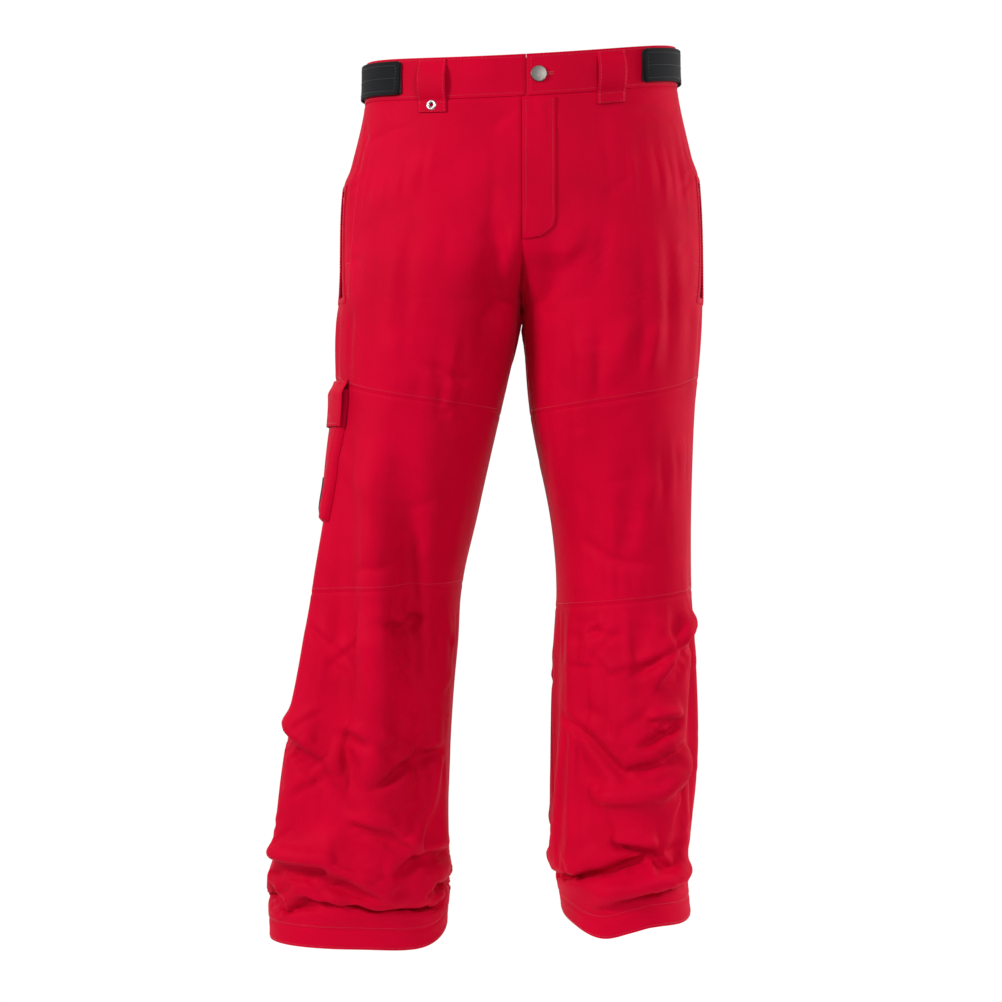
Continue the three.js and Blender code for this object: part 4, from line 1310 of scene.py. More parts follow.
@dataclass
class Finishes:
    """Every material of the trousers, built once."""

    shell: bpy.types.Material
    dark_shell: bpy.types.Material
    lining: bpy.types.Material
    webbing: bpy.types.Material
    elastic: bpy.types.Material
    pile: bpy.types.Material
    teeth: bpy.types.Material
    nickel: bpy.types.Material
    gunmetal: bpy.types.Material
    thread: bpy.types.Material
    dark_thread: bpy.types.Material
    badge: bpy.types.Material
    badge_mark: bpy.types.Material

    @classmethod
    def build(cls) -> "Finishes":
        """Build each material.

        The shell is a saturated red that goes crimson in the folds, with a pink bloom where the cloth turns
        away. The trims are near black and dull, so that the metal of the button and eyelet stands out.
        """
        tape = RibbedTape("black_polyester_webbing", "08090b", "141518", 1.6, 0.35)
        return cls(
            shell=WovenCloth(
                "waterproof_red_nylon_plain_weave", "c6002b", "b80026",
                sheen=0.1, sheen_colour="ff5872", specular=0.03
            ).build(),
            # Cloth of the fly shield, waistband underlap and zip tapes: real parts, whose darker red is
            # painted shade for the gaps they are seen through.
            dark_shell=WovenCloth("dark_red_nylon_plain_weave", "7c0418", "6c0314", crumple=0.3).build(),
            lining=WovenCloth(
                "charcoal_taffeta_lining", "25272c", "1c1e22", pitch=0.9, sheen=0.1, sheen_colour="b8bcc6"
            ).build(),
            webbing=tape.build(),
            elastic=RibbedTape("black_ribbed_elastic", "131416", "26282c", 2.2, 0.5, "X").build(),
            pile=Grained("hook_and_loop_pile", "060708", "131417", 0.5, 0.6, 0.85, sheen=0.05).build(),
            teeth=Grained("moulded_red_zip_teeth", "980a22", "b00e2a", 0.8, 0.05, 0.38).build(),
            nickel=Grained(
                "satin_nickel_plate", "a9a9ad", "cfcfd2", 0.6, 0.02, 0.26, 1.0, 0, (1, 1, 9)
            ).build(),
            gunmetal=Grained(
                "brushed_dark_pewter", "55514f", "837d79", 0.5, 0.03, 0.4, 1.0, 0, (1, 1, 14)
            ).build(),
            thread=Grained("red_polyester_thread", "a1021f", "c80a32", 0.3, 0.05, 0.5, sheen=0.3).build(),
            dark_thread=Grained(
                "black_polyester_thread", "1b1c20", "3a3c42", 0.3, 0.05, 0.5, sheen=0.3
            ).build(),
            badge=Grained("black_embroidered_twill", "0e0f11", "25272b", 0.45, 0.3, 0.75, sheen=0.3).build(),
            badge_mark=Grained(
                "grey_embroidery_thread", "8c8e93", "b9bbc0", 0.4, 0.3, 0.6, sheen=0.3
            ).build(),
        )


# ---- Camera, light and floor -----------------------------------------------------------------------------


@dataclass
class Studio:
    """The plain pale floor, soft lights and camera."""

    distance: float = 2.7
    camera_height: float = -0.479
    middle: tuple[float, float] = (-0.0236, -0.521)
    view_width: float = 1.182
    drop: float = 0.3

    def build(self, low: float) -> None:
        """Set the stage.

        Args:
            low: Height of the hems in metres. The floor lies well below them, as the trousers stand free.
        """
        scene = bpy.context.scene
        bpy.ops.object.select_all(action="DESELECT")
        bpy.ops.mesh.primitive_plane_add(size=1.5, location=(0, 0, low - self.drop))
        floor = bpy.context.object
        floor.name = "floor"
        material, tree, surface = new_surface("pale_studio_paint")
        place = add_node(tree, "TexCoord").outputs["Object"]
        fac = add_node(tree, "TexNoise", {"Vector": place, "Scale": 3.0}).outputs["Fac"]
        tree.links.new(two_tones(tree, fac, "fbfbfb", "fdfdfd"), surface.inputs["Base Color"])
        surface.inputs["Roughness"].default_value = 0.9
        surface.inputs["Specular IOR Level"].default_value = 0.0
        floor.data.materials.append(material)
        floor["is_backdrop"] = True

        world = bpy.data.worlds.new("studio")
        world.use_nodes = True
        self.surround(world.node_tree)
        scene.world = world
        self.light("key", (-2.4, -1.5, 0.7), 0.7, 66)
        self.light("rim", (2.3, 0.5, 0.1), 0.8, 30)
        self.light("fill", (0.9, -2.6, 0.5), 1.0, 34)

        camera = bpy.data.objects.new("camera", bpy.data.cameras.new("camera"))
        scene.collection.objects.link(camera)
        camera.data.sensor_width = 36
        camera.data.lens = 36 * self.distance / self.view_width
        camera.location = (self.middle[0], -self.distance, self.camera_height)
        aim = Vector((self.middle[0], 0, self.middle[1])) - camera.location
        camera.rotation_euler = aim.to_track_quat("-Z", "Y").to_euler()
        scene.camera = camera
        scene.view_settings.view_transform = "Standard"

    def surround(self, tree: bpy.types.NodeTree) -> None:
        """Make the room: a white wall behind the trousers, and a dimmer room in front and below."""
        place = add_node(tree, "TexCoord").outputs["Generated"]
        axes = add_node(tree, "SeparateXYZ", {0: place}).outputs
        ahead = add_node(
            tree,
            "MapRange",
            {"Value": axes["Y"], "From Min": -0.2, "From Max": 0.5, "To Min": 0.4, "To Max": 1.02},
        )
        below = add_node(
            tree,
            "MapRange",
            {"Value": axes["Z"], "From Min": -0.5, "From Max": -0.3, "To Min": 0.35, "To Max": 1.0},
        )
        both = add_node(tree, "Math", {0: ahead.outputs[0], 1: below.outputs[0]}, operation="MULTIPLY")
        background = tree.nodes["Background"]
        background.inputs["Color"].default_value = (1, 1, 1, 1)
        tree.links.new(both.outputs[0], background.inputs["Strength"])

    def light(self, name: str, place: tuple[float, float, float], size: float, power: float) -> None:
        """Hang a square soft light that faces the trousers."""
        data = bpy.data.lights.new(name, "AREA")
        data.size = size
        data.energy = power
        lamp = bpy.data.objects.new(name, data)
        bpy.context.scene.collection.objects.link(lamp)
        lamp.location = place
        aim = Vector((0, 0, -0.5)) - Vector(place)
        lamp.rotation_euler = aim.to_track_quat("-Z", "Y").to_euler()


# ---- Panels ----------------------------------------------------------------------------------------------


@dataclass
class ShellPanels:
    """The red shell, cut into its sewn panels along the side, centre, thigh, knee and hem seams."""

    drape: Drape
    finishes: Finishes
    thickness: float = 1.2
    seam_sink: float = 0.9
    hand_slot: tuple[float, float] = (0.4354, 0.4646)
    hand_slot_ends: tuple[float, float] = (-153, -286)
    fly_slot: float = 25
    fly_slot_ends: tuple[float, float] = (-53, -217)
    pieces: list[bpy.types.Object] = field(default_factory=list)

    def seam_profile(self, distance: Array) -> Array:
        """Sink the edge of a panel into its seam, with the puffed seam allowance beside it."""
        return -self.seam_sink * np.exp(-((distance / 1.6) ** 2)) + 0.35 * np.exp(
            -(((distance - 5) / 3.2) ** 2)
        )

    def panel(self, name: str, side: Side, face: str, first: int, last: int) -> bpy.types.Object:
        """Cut one panel out of the draped cloth.

        Args:
            name: The piece's name.
            side: The wearer's left or right.
            face: "front", "back" or "ring".
            first: Row of its top seam.
            last: Row of its bottom seam.

        Returns:
            The closed panel.
        """
        d = self.drape
        low, high = {"front": (0.0, 0.5), "back": (0.5, 1.0), "ring": (0.0, 1.0)}[face]
        count = round(d.columns * (high - low))
        turns = low + (high - low) * edge_spaced(count, 1 / count * 0.9)
        rows = first + (last - first) * edge_spaced(last - first, 0.9 / (last - first))
        if face == "ring":
            turns = turns[:-1]
        slots = face == "front" and first == d.block_start(1)
        fly_turn = d.form.front_turn(self.fly_slot, -130)
        if slots:
            turns = np.unique(np.concatenate([turns, self.hand_slot, [fly_turn * 0.16, fly_turn]]))
            ends = [*self.hand_slot_ends, *self.fly_slot_ends]
            rows = np.unique(np.concatenate([rows, d.rows_at(side, np.full(4, 0.45), np.array(ends))]))
        ways = turns if side is Side.LEFT else np.maximum((2 - turns)[::-1], 1 + 1e-9)
        way, row = np.meshgrid(ways, rows)
        point, _, _, out = d.spot(way, row=row)
        run, drop = run_and_drop(point)
        rise = 0.5 * (self.seam_profile(drop) + self.seam_profile(drop[-1:] - drop))
        if face != "ring":
            rise += self.seam_profile(run) + self.seam_profile(run[:, -1:] - run)
        outer = point + out * rise[..., None]
        inner = point + out * (rise - self.thickness)[..., None]
        keep = None
        if slots:
            keep = self.keep_cells(side, ways, rows, fly_turn)
        piece = cloth_sheet(name, outer, inner, face == "ring", keep)
        piece.data.materials.append(self.finishes.shell)
        piece.data.materials.append(self.finishes.lining)
        turn = ways if side is Side.LEFT else 2 - ways
        lines = d.row_heights(side, turn)
        level = np.array([np.interp(rows, np.arange(len(lines)), line) for line in lines.T]).T
        flat, area = cut_size(d.unfolded(way, level), ring=face == "ring")
        declare_sheet(piece, flat, area)
        self.pieces.append(piece)
        return piece

    def keep_cells(self, side: Side, ways: Array, rows: Array, fly_turn: float) -> Array:
        """Mark the cells of an upper front panel that aren't in the pocket's or fly's opening."""
        middle = (ways[1:] + ways[:-1]) / 2
        turn = middle if side is Side.LEFT else 2 - middle
        level = (rows[1:] + rows[:-1]) / 2
        ends = [*self.hand_slot_ends, *self.fly_slot_ends]
        top, bottom, fly_top, fly_end = self.drape.rows_at(side, np.full(4, 0.45), np.array(ends))
        in_slot = (turn > self.hand_slot[0]) & (turn < self.hand_slot[1])
        keep = ~(in_slot[None, :] & ((level > top) & (level < bottom))[:, None])
        if side is Side.LEFT:
            keep &= ~(
                ((turn > fly_turn * 0.16) & (turn < fly_turn))[None, :]
                & ((level > fly_top) & (level < fly_end))[:, None]
            )
        return keep

    def build(self) -> None:
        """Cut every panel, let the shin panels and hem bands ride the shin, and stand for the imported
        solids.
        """
        d = self.drape
        for side in Side:
            w = side.word
            thigh, shin = f"thigh_{w}", f"shin_{w}"
            for face in ("front", "back"):
                upper = self.panel(f"shell_{face}_upper_{w}", side, face, d.block_start(1), d.block_start(3))
                knee = self.panel(f"shell_{face}_knee_{w}", side, face, d.block_start(3), d.block_start(4))
                lower = self.panel(f"shell_{face}_shin_{w}", side, face, d.block_start(4), d.block_start(5))
                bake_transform(upper)
                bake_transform(knee)
                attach(lower, shin)
                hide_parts(f"front_panel_{w}" if face == "front" else f"seat_panel_{w}")
                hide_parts(f"knee_{face}_panel_{w}")
                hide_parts(f"shin_{face}_panel_{w}")
            hem = self.panel(f"hem_band_{w}", side, "ring", d.block_start(5), d.block_start(6))
            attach(hem, shin)
            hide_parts(f"hem_{w}")
            self.stitch(side)

    def stitch(self, side: Side) -> None:
        """Sew the topstitching beside the thigh, knee and hem seams of one leg."""
        d, w = self.drape, side.word
        around = np.linspace(0.004, 0.996, 160)
        ways = around if side is Side.LEFT else (2 - around)[::-1]
        turns = around if side is Side.LEFT else around[::-1]
        lines = [curve(s, turns) for s in d.seams(side)]
        thigh = Stitching(d, self.finishes.thread).line(ways, lines[3] + 5, 0.25)
        knee = Stitching(d, self.finishes.thread).line(ways, lines[4] + 5, 0.25)
        hem = Stitching(d, self.finishes.thread).line(ways, lines[5] + 4, 0.3)
        hem.line(ways, lines[6] + 3, 0.2)
        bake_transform(thigh.build(f"stitches_thigh_seam_{w}"))
        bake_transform(knee.build(f"stitches_knee_seam_{w}"))
        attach(hem.build(f"stitches_hem_{w}"), f"shin_{w}")


# ---- Waistband -------------------------------------------------------------------------------------------


@dataclass
class Waistband:
    """The waistband in three lengths, with the underlap behind the fly, its seams and topstitching."""

    drape: Drape
    finishes: Finishes
    height: float = 47
    proud: float = 0.6
    thickness: float = 3.0
    end: float = 5.0
    back_seam: float = 0.72

    def build(self) -> None:
        """Lay the lengths of waistband edge to edge."""
        d, f = self.drape, self.finishes
        low, h = self.proud - self.thickness, self.height
        left, right = d.front_way(self.end, -h / 2), d.front_way(self.end - 0.35, -h / 2)
        spans = {
            "waistband_front_left": (left, self.back_seam - 0.0006),
            "waistband_back": (self.back_seam + 0.0006, 2 - self.back_seam - 0.0006),
            "waistband_front_right": (self.back_seam * -1 + 0.0006, right),
        }
        for name, (a, b) in spans.items():
            steps = round((b - a) * 230)
            place = way_place(a, b, 0, -h)
            swell = lambda u, v: low + 0.5 * np.sin(np.pi * v) ** 0.6
            edge = 2.2 / ((b - a) * 470)
            piece, _ = lay(
                d, f"{name}_cloth", (steps, 16), place, swell, self.thickness, "pelvis", f.shell,
                back=f.lining, edge=max(edge, 0.03) if (b - a) < 0.2 else edge,
            )
            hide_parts(name)
        # The underlap is real; its darker red is painted shade for the slit between the waistband's ends.
        place = strip_place(d, -2, 42, -4, 4 - h)
        under, _ = lay(
            d, "waistband_underlap_cloth", (16, 8), place, low - 3.4, 2.0,
            "pelvis", f.dark_shell,
        )
        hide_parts("waistband_underlap")
        self.stitch(left, right)

    def stitch(self, left: float, right: float) -> None:
        """Sew a line near each edge of the waistband, and one down its end."""
        h = self.height
        sewn = Stitching(self.drape, self.finishes.thread)
        for a, b in ((left + 0.004, 1.0), (-1.0, right - 0.004)):
            ways = np.linspace(a, b, 90)
            sewn.line(ways, np.full(90, -3.6), self.proud + 0.32)
            sewn.line(ways, np.full(90, 3.6 - h), self.proud + 0.32)
        edge = left + 3.4 / 470
        sewn.line([edge, edge], [-4.5, 4.5 - h], self.proud + 0.5)
        seam = self.proud + 0.25
        for way in (self.back_seam, 2 - self.back_seam):
            sewn.line([way + 0.008, way + 0.008], [-3, 3 - h], seam + 0.3)
        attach(sewn.build("stitches_waistband"), "pelvis")


# ---- Zips ------------------------------------------------------------------------------------------------


@dataclass(frozen=True)
class Line:
    """A straight line down the form: X across, Y into the garment, Z up, with its origin at the top."""

    origin: Array
    x: Array
    y: Array
    z: Array
    length: float

    @classmethod
    def between(cls, drape: Drape, way_top: float, top: float, way_bottom: float, bottom: float) -> "Line":
        """Draw the line between two places on the unfolded form."""
        form = drape.form
        ends = []
        for way, height in (
            (way_top, top),
            (way_bottom, bottom),
            ((way_top + way_bottom) / 2, (top + bottom) / 2),
        ):
            side, turn = (Side.LEFT, way) if 0 <= way <= 1 else (Side.RIGHT, 2 - way)
            ends.append((form.point(side, turn, height), form.outward(side, np.array(turn), height)))
        a, b = ends[0][0], ends[1][0]
        z = unit(a - b)
        inward = -ends[2][1]
        y = unit(inward - z * float(np.dot(inward, z)))
        return cls(a, unit(np.cross(y, z)), y, z, float(np.linalg.norm(a - b)))

    def matrix(self, down: float = 0.0, depth: float = 0.0) -> Matrix:
        """Give the frame in metres, some millimetres down the line and into the garment."""
        place = (self.origin - self.z * down + self.y * depth) * MM
        rows = [[self.x[k], self.y[k], self.z[k], place[k]] for k in range(3)]
        return Matrix([*rows, [0, 0, 0, 1]])


def hard_box(
    name: str, size: tuple[float, float, float], middle: tuple[float, float, float]
) -> bpy.types.Object:
    """Model a block in millimetres, ready to be shaped."""
    bpy.ops.object.select_all(action="DESELECT")
    bpy.ops.mesh.primitive_cube_add(size=1)
    piece = bpy.context.object
    piece.name = name
    piece.data.transform(
        Matrix.Translation(Vector(middle) * MM) @ Matrix.Diagonal((*(s * MM for s in size), 1))
    )
    return piece


def rounded(piece: bpy.types.Object, width: float, segments: int = 3) -> bpy.types.Object:
    """Round a hard piece's edges by some millimetres."""
    bevel = piece.modifiers.new("edges", "BEVEL")
    bevel.width = width * MM
    bevel.segments = segments
    bevel.limit_method = "ANGLE"
    return apply_modifiers(piece)


def drilled(piece: bpy.types.Object, cutter: bpy.types.Object) -> bpy.types.Object:
    """Cut a hole through a piece with another, which is used up."""
    cut = piece.modifiers.new("hole", "BOOLEAN")
    cut.object = cutter
    cut.solver = "EXACT"
    apply_modifiers(piece)
    bpy.data.objects.remove(cutter, do_unlink=True)
    return piece


def joined(name: str, pieces: Sequence[bpy.types.Object]) -> bpy.types.Object:
    """Join hard pieces into one."""
    bpy.ops.object.select_all(action="DESELECT")
    for piece in pieces:
        piece.select_set(True)
    bpy.context.view_layer.objects.active = pieces[0]
    bpy.ops.object.join()
    pieces[0].name = name
    return pieces[0]


def cylinder(name: str, radius: float, depth: float, middle: tuple[float, float, float], axis: str = "Z",
             sides: int = 40) -> bpy.types.Object:
    """Model a cylinder in millimetres about one axis."""
    bpy.ops.object.select_all(action="DESELECT")
    bpy.ops.mesh.primitive_cylinder_add(vertices=sides, radius=radius * MM, depth=depth * MM)
    piece = bpy.context.object
    piece.name = name
    turn = Matrix.Rotation(math.pi / 2, 4, "X") if axis == "Y" else Matrix.Identity(4)
    piece.data.transform(Matrix.Translation(Vector(middle) * MM) @ turn)
    return piece


def finish_hard(
    piece: bpy.types.Object, matrix: Matrix, body: str,
    material: bpy.types.Material, angle: float = 35,
) -> bpy.types.Object:
    """Put a hard piece in place, dress it and let it ride."""
    piece.data.transform(matrix)
    piece.data.materials.clear()
    piece.data.materials.append(material)
    shade(piece, angle)
    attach(piece, body)
    return piece


@dataclass
class Zip:
    """A coil zip: two rows of teeth, a slider with a bridge, and a pull with an eye."""

    prefix: str
    line: Line
    finishes: Finishes
    first: float
    slider_body: str
    pull_body: str
    pitch: float = 2.0
    tooth: tuple[float, float, float] = (2.7, 1.4, 1.15)

    def build(self) -> None:
        """Model the teeth, slider and pull."""
        self.teeth()
        self.slider()
        self.pull()

    def teeth(self) -> None:
        """Model two rows of teeth that mesh, each from one tooth repeated down the chain."""
        rows = []
        depth = self.first + 1.8 + 0.75
        count = int((self.line.length - 6) / self.pitch) - 1
        for sign in (-1, 1):
            start = 3 + self.pitch / 2 * (1 + 0.5 * sign)
            tooth = hard_box("tooth", self.tooth, (sign * 1.0, depth, -start))
            rounded(tooth, 0.3, 1)
            row = tooth.modifiers.new("row", "ARRAY")
            row.use_relative_offset = False
            row.use_constant_offset = True
            row.constant_offset_displace = (0, 0, -self.pitch * MM)
            row.count = count
            rows.append(apply_modifiers(tooth))
        teeth = joined(f"{self.prefix}_teeth_rows", rows)
        finish_hard(teeth, self.line.matrix(), "pelvis", self.finishes.teeth)
        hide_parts(f"{self.prefix}_zip_teeth")

    def slider(self) -> None:
        """Model the slider: a plate that narrows to its tail, two side walls and a bridge."""
        f = self.first
        plate = hard_box("plate", (9.4, 1.4, 10.8), (0, f + 0.75, -9.5))
        bpy.ops.object.select_all(action="DESELECT")
        plate.select_set(True)
        bpy.context.view_layer.objects.active = plate
        bpy.ops.object.mode_set(mode="EDIT")
        bpy.ops.mesh.select_all(action="DESELECT")
        bpy.ops.object.mode_set(mode="OBJECT")
        for vertex in plate.data.vertices:
            vertex.select = vertex.co.z < -0.0125
        bpy.ops.object.mode_set(mode="EDIT")
        bpy.ops.transform.resize(value=(0.62, 1, 1), center_override=(0, 0, 0))
        bpy.ops.object.mode_set(mode="OBJECT")
        rounded(plate, 0.5)
        walls = [
            rounded(hard_box("wall", (1.0, 2.6, 9.6), (sign * 3.9, f + 2.3, -9.5)), 0.3) for sign in (-1, 1)
        ]
        bridge = rounded(hard_box("bridge", (2.2, 0.7, 6.4), (0, f - 0.35, -9.3)), 0.3)
        slider = joined(f"{self.prefix}_slider_shape", [plate, *walls, bridge])
        finish_hard(slider, self.line.matrix(), self.slider_body, self.finishes.nickel)
        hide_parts(f"{self.prefix}_zip_slider")

    def pull(self) -> None:
        """Model the pull: a flat tab with rounded corners, four raised ribs and an eye at its lower end."""
        depth = self.first - 0.9
        tab = rounded(hard_box("tab", (5.3, 1.05, 21.8), (0, depth, -18.0)), 0.45)
        tab = drilled(tab, cylinder("eye", 1.25, 4, (0, depth, -25.2), "Y", 24))
        ribs = [
            rounded(hard_box("rib", (3.0, 0.35, 0.8), (0, depth - 0.6, -13.5 - 2.2 * k)), 0.12, 2)
            for k in range(4)
        ]
        pull = joined(f"{self.prefix}_pull_shape", [tab, *ribs])
        finish_hard(pull, self.line.matrix(), self.pull_body, self.finishes.nickel)
        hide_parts("fly_zip_pull" if self.prefix == "fly" else f"{self.prefix}_pull")


# ---- Fly -------------------------------------------------------------------------------------------------


@dataclass
class Fly:
    """The fly: a placket that is sewn down in a J, a zip under it and a shield behind."""

    drape: Drape
    finishes: Finishes
    top: float = -50
    bottom: float = -223
    width: float = 38
    corner: float = 27

    def place(self, u: Array, v: Array) -> tuple[Array, Array]:
        """Place the placket: straight at its free edge, and curving in to it at the bottom."""
        height = self.top + (self.bottom - self.top) * v
        low = np.clip((self.bottom + self.corner - height) / self.corner, 0, 1)
        right = 9 + (self.width - 9) * np.sqrt(1 - np.minimum(low, 0.999) ** 2)
        levels = np.linspace(self.bottom, self.top, 9)
        left = np.interp(height, levels, [self.drape.front_way(0.5, h) for h in levels])
        full = np.interp(height, levels, [self.drape.front_way(self.width, h) for h in levels])
        return left + (full * right / self.width - left) * u, height

    def build(self) -> None:
        """Lay the placket and shield, and put the zip between them."""
        d, f = self.drape, self.finishes
        standing = lambda u, v: 0.9 - 0.5 * smooth((u - 0.82) / 0.18) + 0.25 * np.sin(9 * v + 2 * u) * (1 - u)
        placket, _ = lay(
            d, "fly_placket_cloth", (22, 90), self.place, standing, 1.5,
            "fly_flap", f.shell, edge=0.02,
        )
        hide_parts("fly_placket")
        flat, area = cut_size(d.unfolded(*self.place(*cut_grid())))
        declare_sheet(placket, flat, area)

        # The shield is real; its darker red is painted shade for the gap beside the placket's free edge.
        shield, _ = lay(
            d, "fly_shield_cloth", (18, 40), strip_place(d, -14, 34, self.top, self.bottom - 3), -9, 1.6,
            "pelvis", f.dark_shell, back=f.lining,
        )
        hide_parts("fly_shield")
        zip_way = [d.front_way(14, h) for h in (self.top, self.bottom + 4)]
        line = Line.between(d, zip_way[0], self.top, zip_way[1], self.bottom + 4)
        Zip("fly", line, f, 0.6, "fly_slider", "fly_slider").build()
        self.stitch()

    def stitch(self) -> None:
        """Sew the J beside the placket's outer edge, and a line beside its free edge."""
        sewn = Stitching(self.drape, self.finishes.thread)
        share = np.linspace(0.01, 0.985, 120)
        for inset in (0.90, 0.80):
            way, height = self.place(np.full(120, inset), share)
            sewn.line(way, height, 2.15)
        way, height = self.place(np.full(40, 0.09), np.linspace(0.01, 0.95, 40))
        sewn.line(way, height, 2.55)
        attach(sewn.build("stitches_fly"), "fly_flap")


@dataclass
class WaistButton:
    """The jeans button: a pewter cap with a raised rim and a low dome, and the buttonhole beside it."""

    drape: Drape
    finishes: Finishes
    from_edge: float = 19
    height: float = -23.5
    radius: float = 9
    stand: float = 1.7

    def build(self) -> None:
        """Model the cap and sew the buttonhole."""
        d = self.drape
        cap = cylinder("cap", self.radius, 2.4, (0, 0, 1.2), sides=56)
        select_only(cap)
        for polygon in cap.data.polygons:
            polygon.select = polygon.normal.z > 0.9
        bpy.ops.object.mode_set(mode="EDIT")
        bpy.ops.mesh.select_mode(type="FACE")
        bpy.ops.mesh.inset(thickness=1.7 * MM, depth=0)
        bpy.ops.transform.translate(value=(0, 0, -0.9 * MM))
        for inset, rise in ((2.0, 0.35), (2.4, 0.25)):
            bpy.ops.mesh.inset(thickness=inset * MM, depth=0)
            bpy.ops.transform.translate(value=(0, 0, rise * MM))
        bpy.ops.object.mode_set(mode="OBJECT")
        rounded(cap, 0.55)
        way = d.front_way(self.from_edge, self.height)
        side = Side.LEFT
        origin = d.form.point(side, way, self.height)
        out = d.form.outward(side, np.array(way), self.height)
        x = unit(np.cross([0, 0, 1.0], out))
        y = np.cross(out, x)
        place = (origin + out * self.stand) * MM
        matrix = Matrix([*([x[k], y[k], out[k], place[k]] for k in range(3)), [0, 0, 0, 1]])
        finish_hard(cap, matrix, "waist_button", self.finishes.gunmetal, 30)
        cap.name = "waist_button_cap"
        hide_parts("waist_button_head")
        hole = Stitching(d, self.finishes.thread, length=0.9, gap=0.15, width=1.5)
        ways = [d.front_way(x, self.height) for x in (9, 36)]
        for level in (-1.1, 1.1):
            hole.line(ways, [self.height + level] * 2, 1.25)
        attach(hole.build("buttonhole_purl"), "pelvis")


# ---- Belt loops, eyelet and waist tabs -------------------------------------------------------------------


@dataclass
class BeltLoops:
    """Four belt loops, sewn down over the waistband's edges, and the eyelet in the right front one."""

    drape: Drape
    finishes: Finishes
    width: float = 32
    middle: float = 101
    top: float = -3
    bottom: float = -62
    stand: float = 5.5
    back_way: float = 0.83
    eyelet_above: float = 8

    def build(self) -> None:
        """Lay the loops, drill the eyelet's hole and set the eyelet."""
        d = self.drape
        half, reach = self.width / 2, self.width / 2 / 470
        middle, bottom, top = self.middle, self.bottom, self.top
        spans = {
            "belt_loop_front_left": strip_place(d, middle - half, middle + half, top, bottom),
            "belt_loop_front_right": strip_place(d, -middle - half, -middle + half, top, bottom),
            "belt_loop_back_left": way_place(self.back_way - reach, self.back_way + reach, top, bottom),
            "belt_loop_back_right": way_place(
                2 - self.back_way - reach, 2 - self.back_way + reach, top, bottom
            ),
        }
        for name, place in spans.items():
            self.loop(name, place)
        self.eyelet(spans["belt_loop_front_right"])

    def lift(self, u: Array, v: Array) -> Array:
        """Stand the loop off between its sewn ends, a little fuller at its middle."""
        free = np.clip((v - 0.1) / 0.66, 0, 1)
        return 0.9 + self.stand * np.sin(np.pi * free) ** 0.6 * (0.94 + 0.06 * np.sin(np.pi * u))

    def loop(self, name: str, place: Callable[[Array, Array], tuple[Array, Array]]) -> None:
        """Lay and stitch one loop."""
        piece, outer = lay(
            self.drape, f"{name}_cloth", (14, 26), place, self.lift, 1.7, "pelvis",
            self.finishes.shell, edge=0.035,
        )
        if name == "belt_loop_front_right":
            cutter = cylinder("bore", 3.4, 14, (0, 0, 0))
            cutter.data.transform(self.eyelet_matrix(place))
            drilled(piece, cutter)
        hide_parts(name)
        sewn = Stitching(self.drape, self.finishes.thread)
        outs = self.drape.spot(*place(np.array([0.5]), np.array([0.5])))[3][0]
        for column in (0.17, 0.83):
            index = round(column * (outer.shape[1] - 1))
            line = outer[1:-1, index] + outs * 0.12
            sewn.along(line, np.repeat(outs[None], len(line), axis=0))
        for share in (0.05, 0.8, 0.95):
            index = round(share * (outer.shape[0] - 1))
            line = outer[index, 1:-1] + outs * 0.12
            sewn.along(line, np.repeat(outs[None], len(line), axis=0))
        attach(sewn.build(f"stitches_{name}"), "pelvis")

    def eyelet_matrix(self, place: Callable[[Array, Array], tuple[Array, Array]]) -> Matrix:
        """Give the frame of the eyelet, with Z out of the loop's face."""
        share = (self.top - self.bottom - self.eyelet_above) / (self.top - self.bottom)
        way, height = place(np.array([0.5]), np.array([share]))
        point, across, up, out = (a[0] for a in self.drape.spot(way, height))
        lift = float(self.lift(np.array([0.5]), np.array([share]))[0]) + 1.7
        origin = (point + out * lift) * MM
        up = np.cross(out, across)
        return Matrix([*([across[k], up[k], out[k], origin[k]] for k in range(3)), [0, 0, 0, 1]])

    def eyelet(self, place: Callable[[Array, Array], tuple[Array, Array]]) -> None:
        """Model the eyelet: a rolled flange and the barrel that goes through the loop."""
        bpy.ops.object.select_all(action="DESELECT")
        bpy.ops.mesh.primitive_torus_add(
            major_segments=48, minor_segments=14, major_radius=4.3 * MM, minor_radius=1.6 * MM
        )
        flange = bpy.context.object
        flange.data.transform(Matrix.Diagonal((1, 1, 0.62, 1)))
        barrel = drilled(
            cylinder("barrel", 3.1, 3.4, (0, 0, -1.4)), cylinder("bore", 2.6, 8, (0, 0, -1.4))
        )
        ring = joined("eyelet_rolled_ring", [flange, barrel])
        finish_hard(ring, self.eyelet_matrix(place), "pelvis", self.finishes.nickel)
        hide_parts("eyelet_ring")


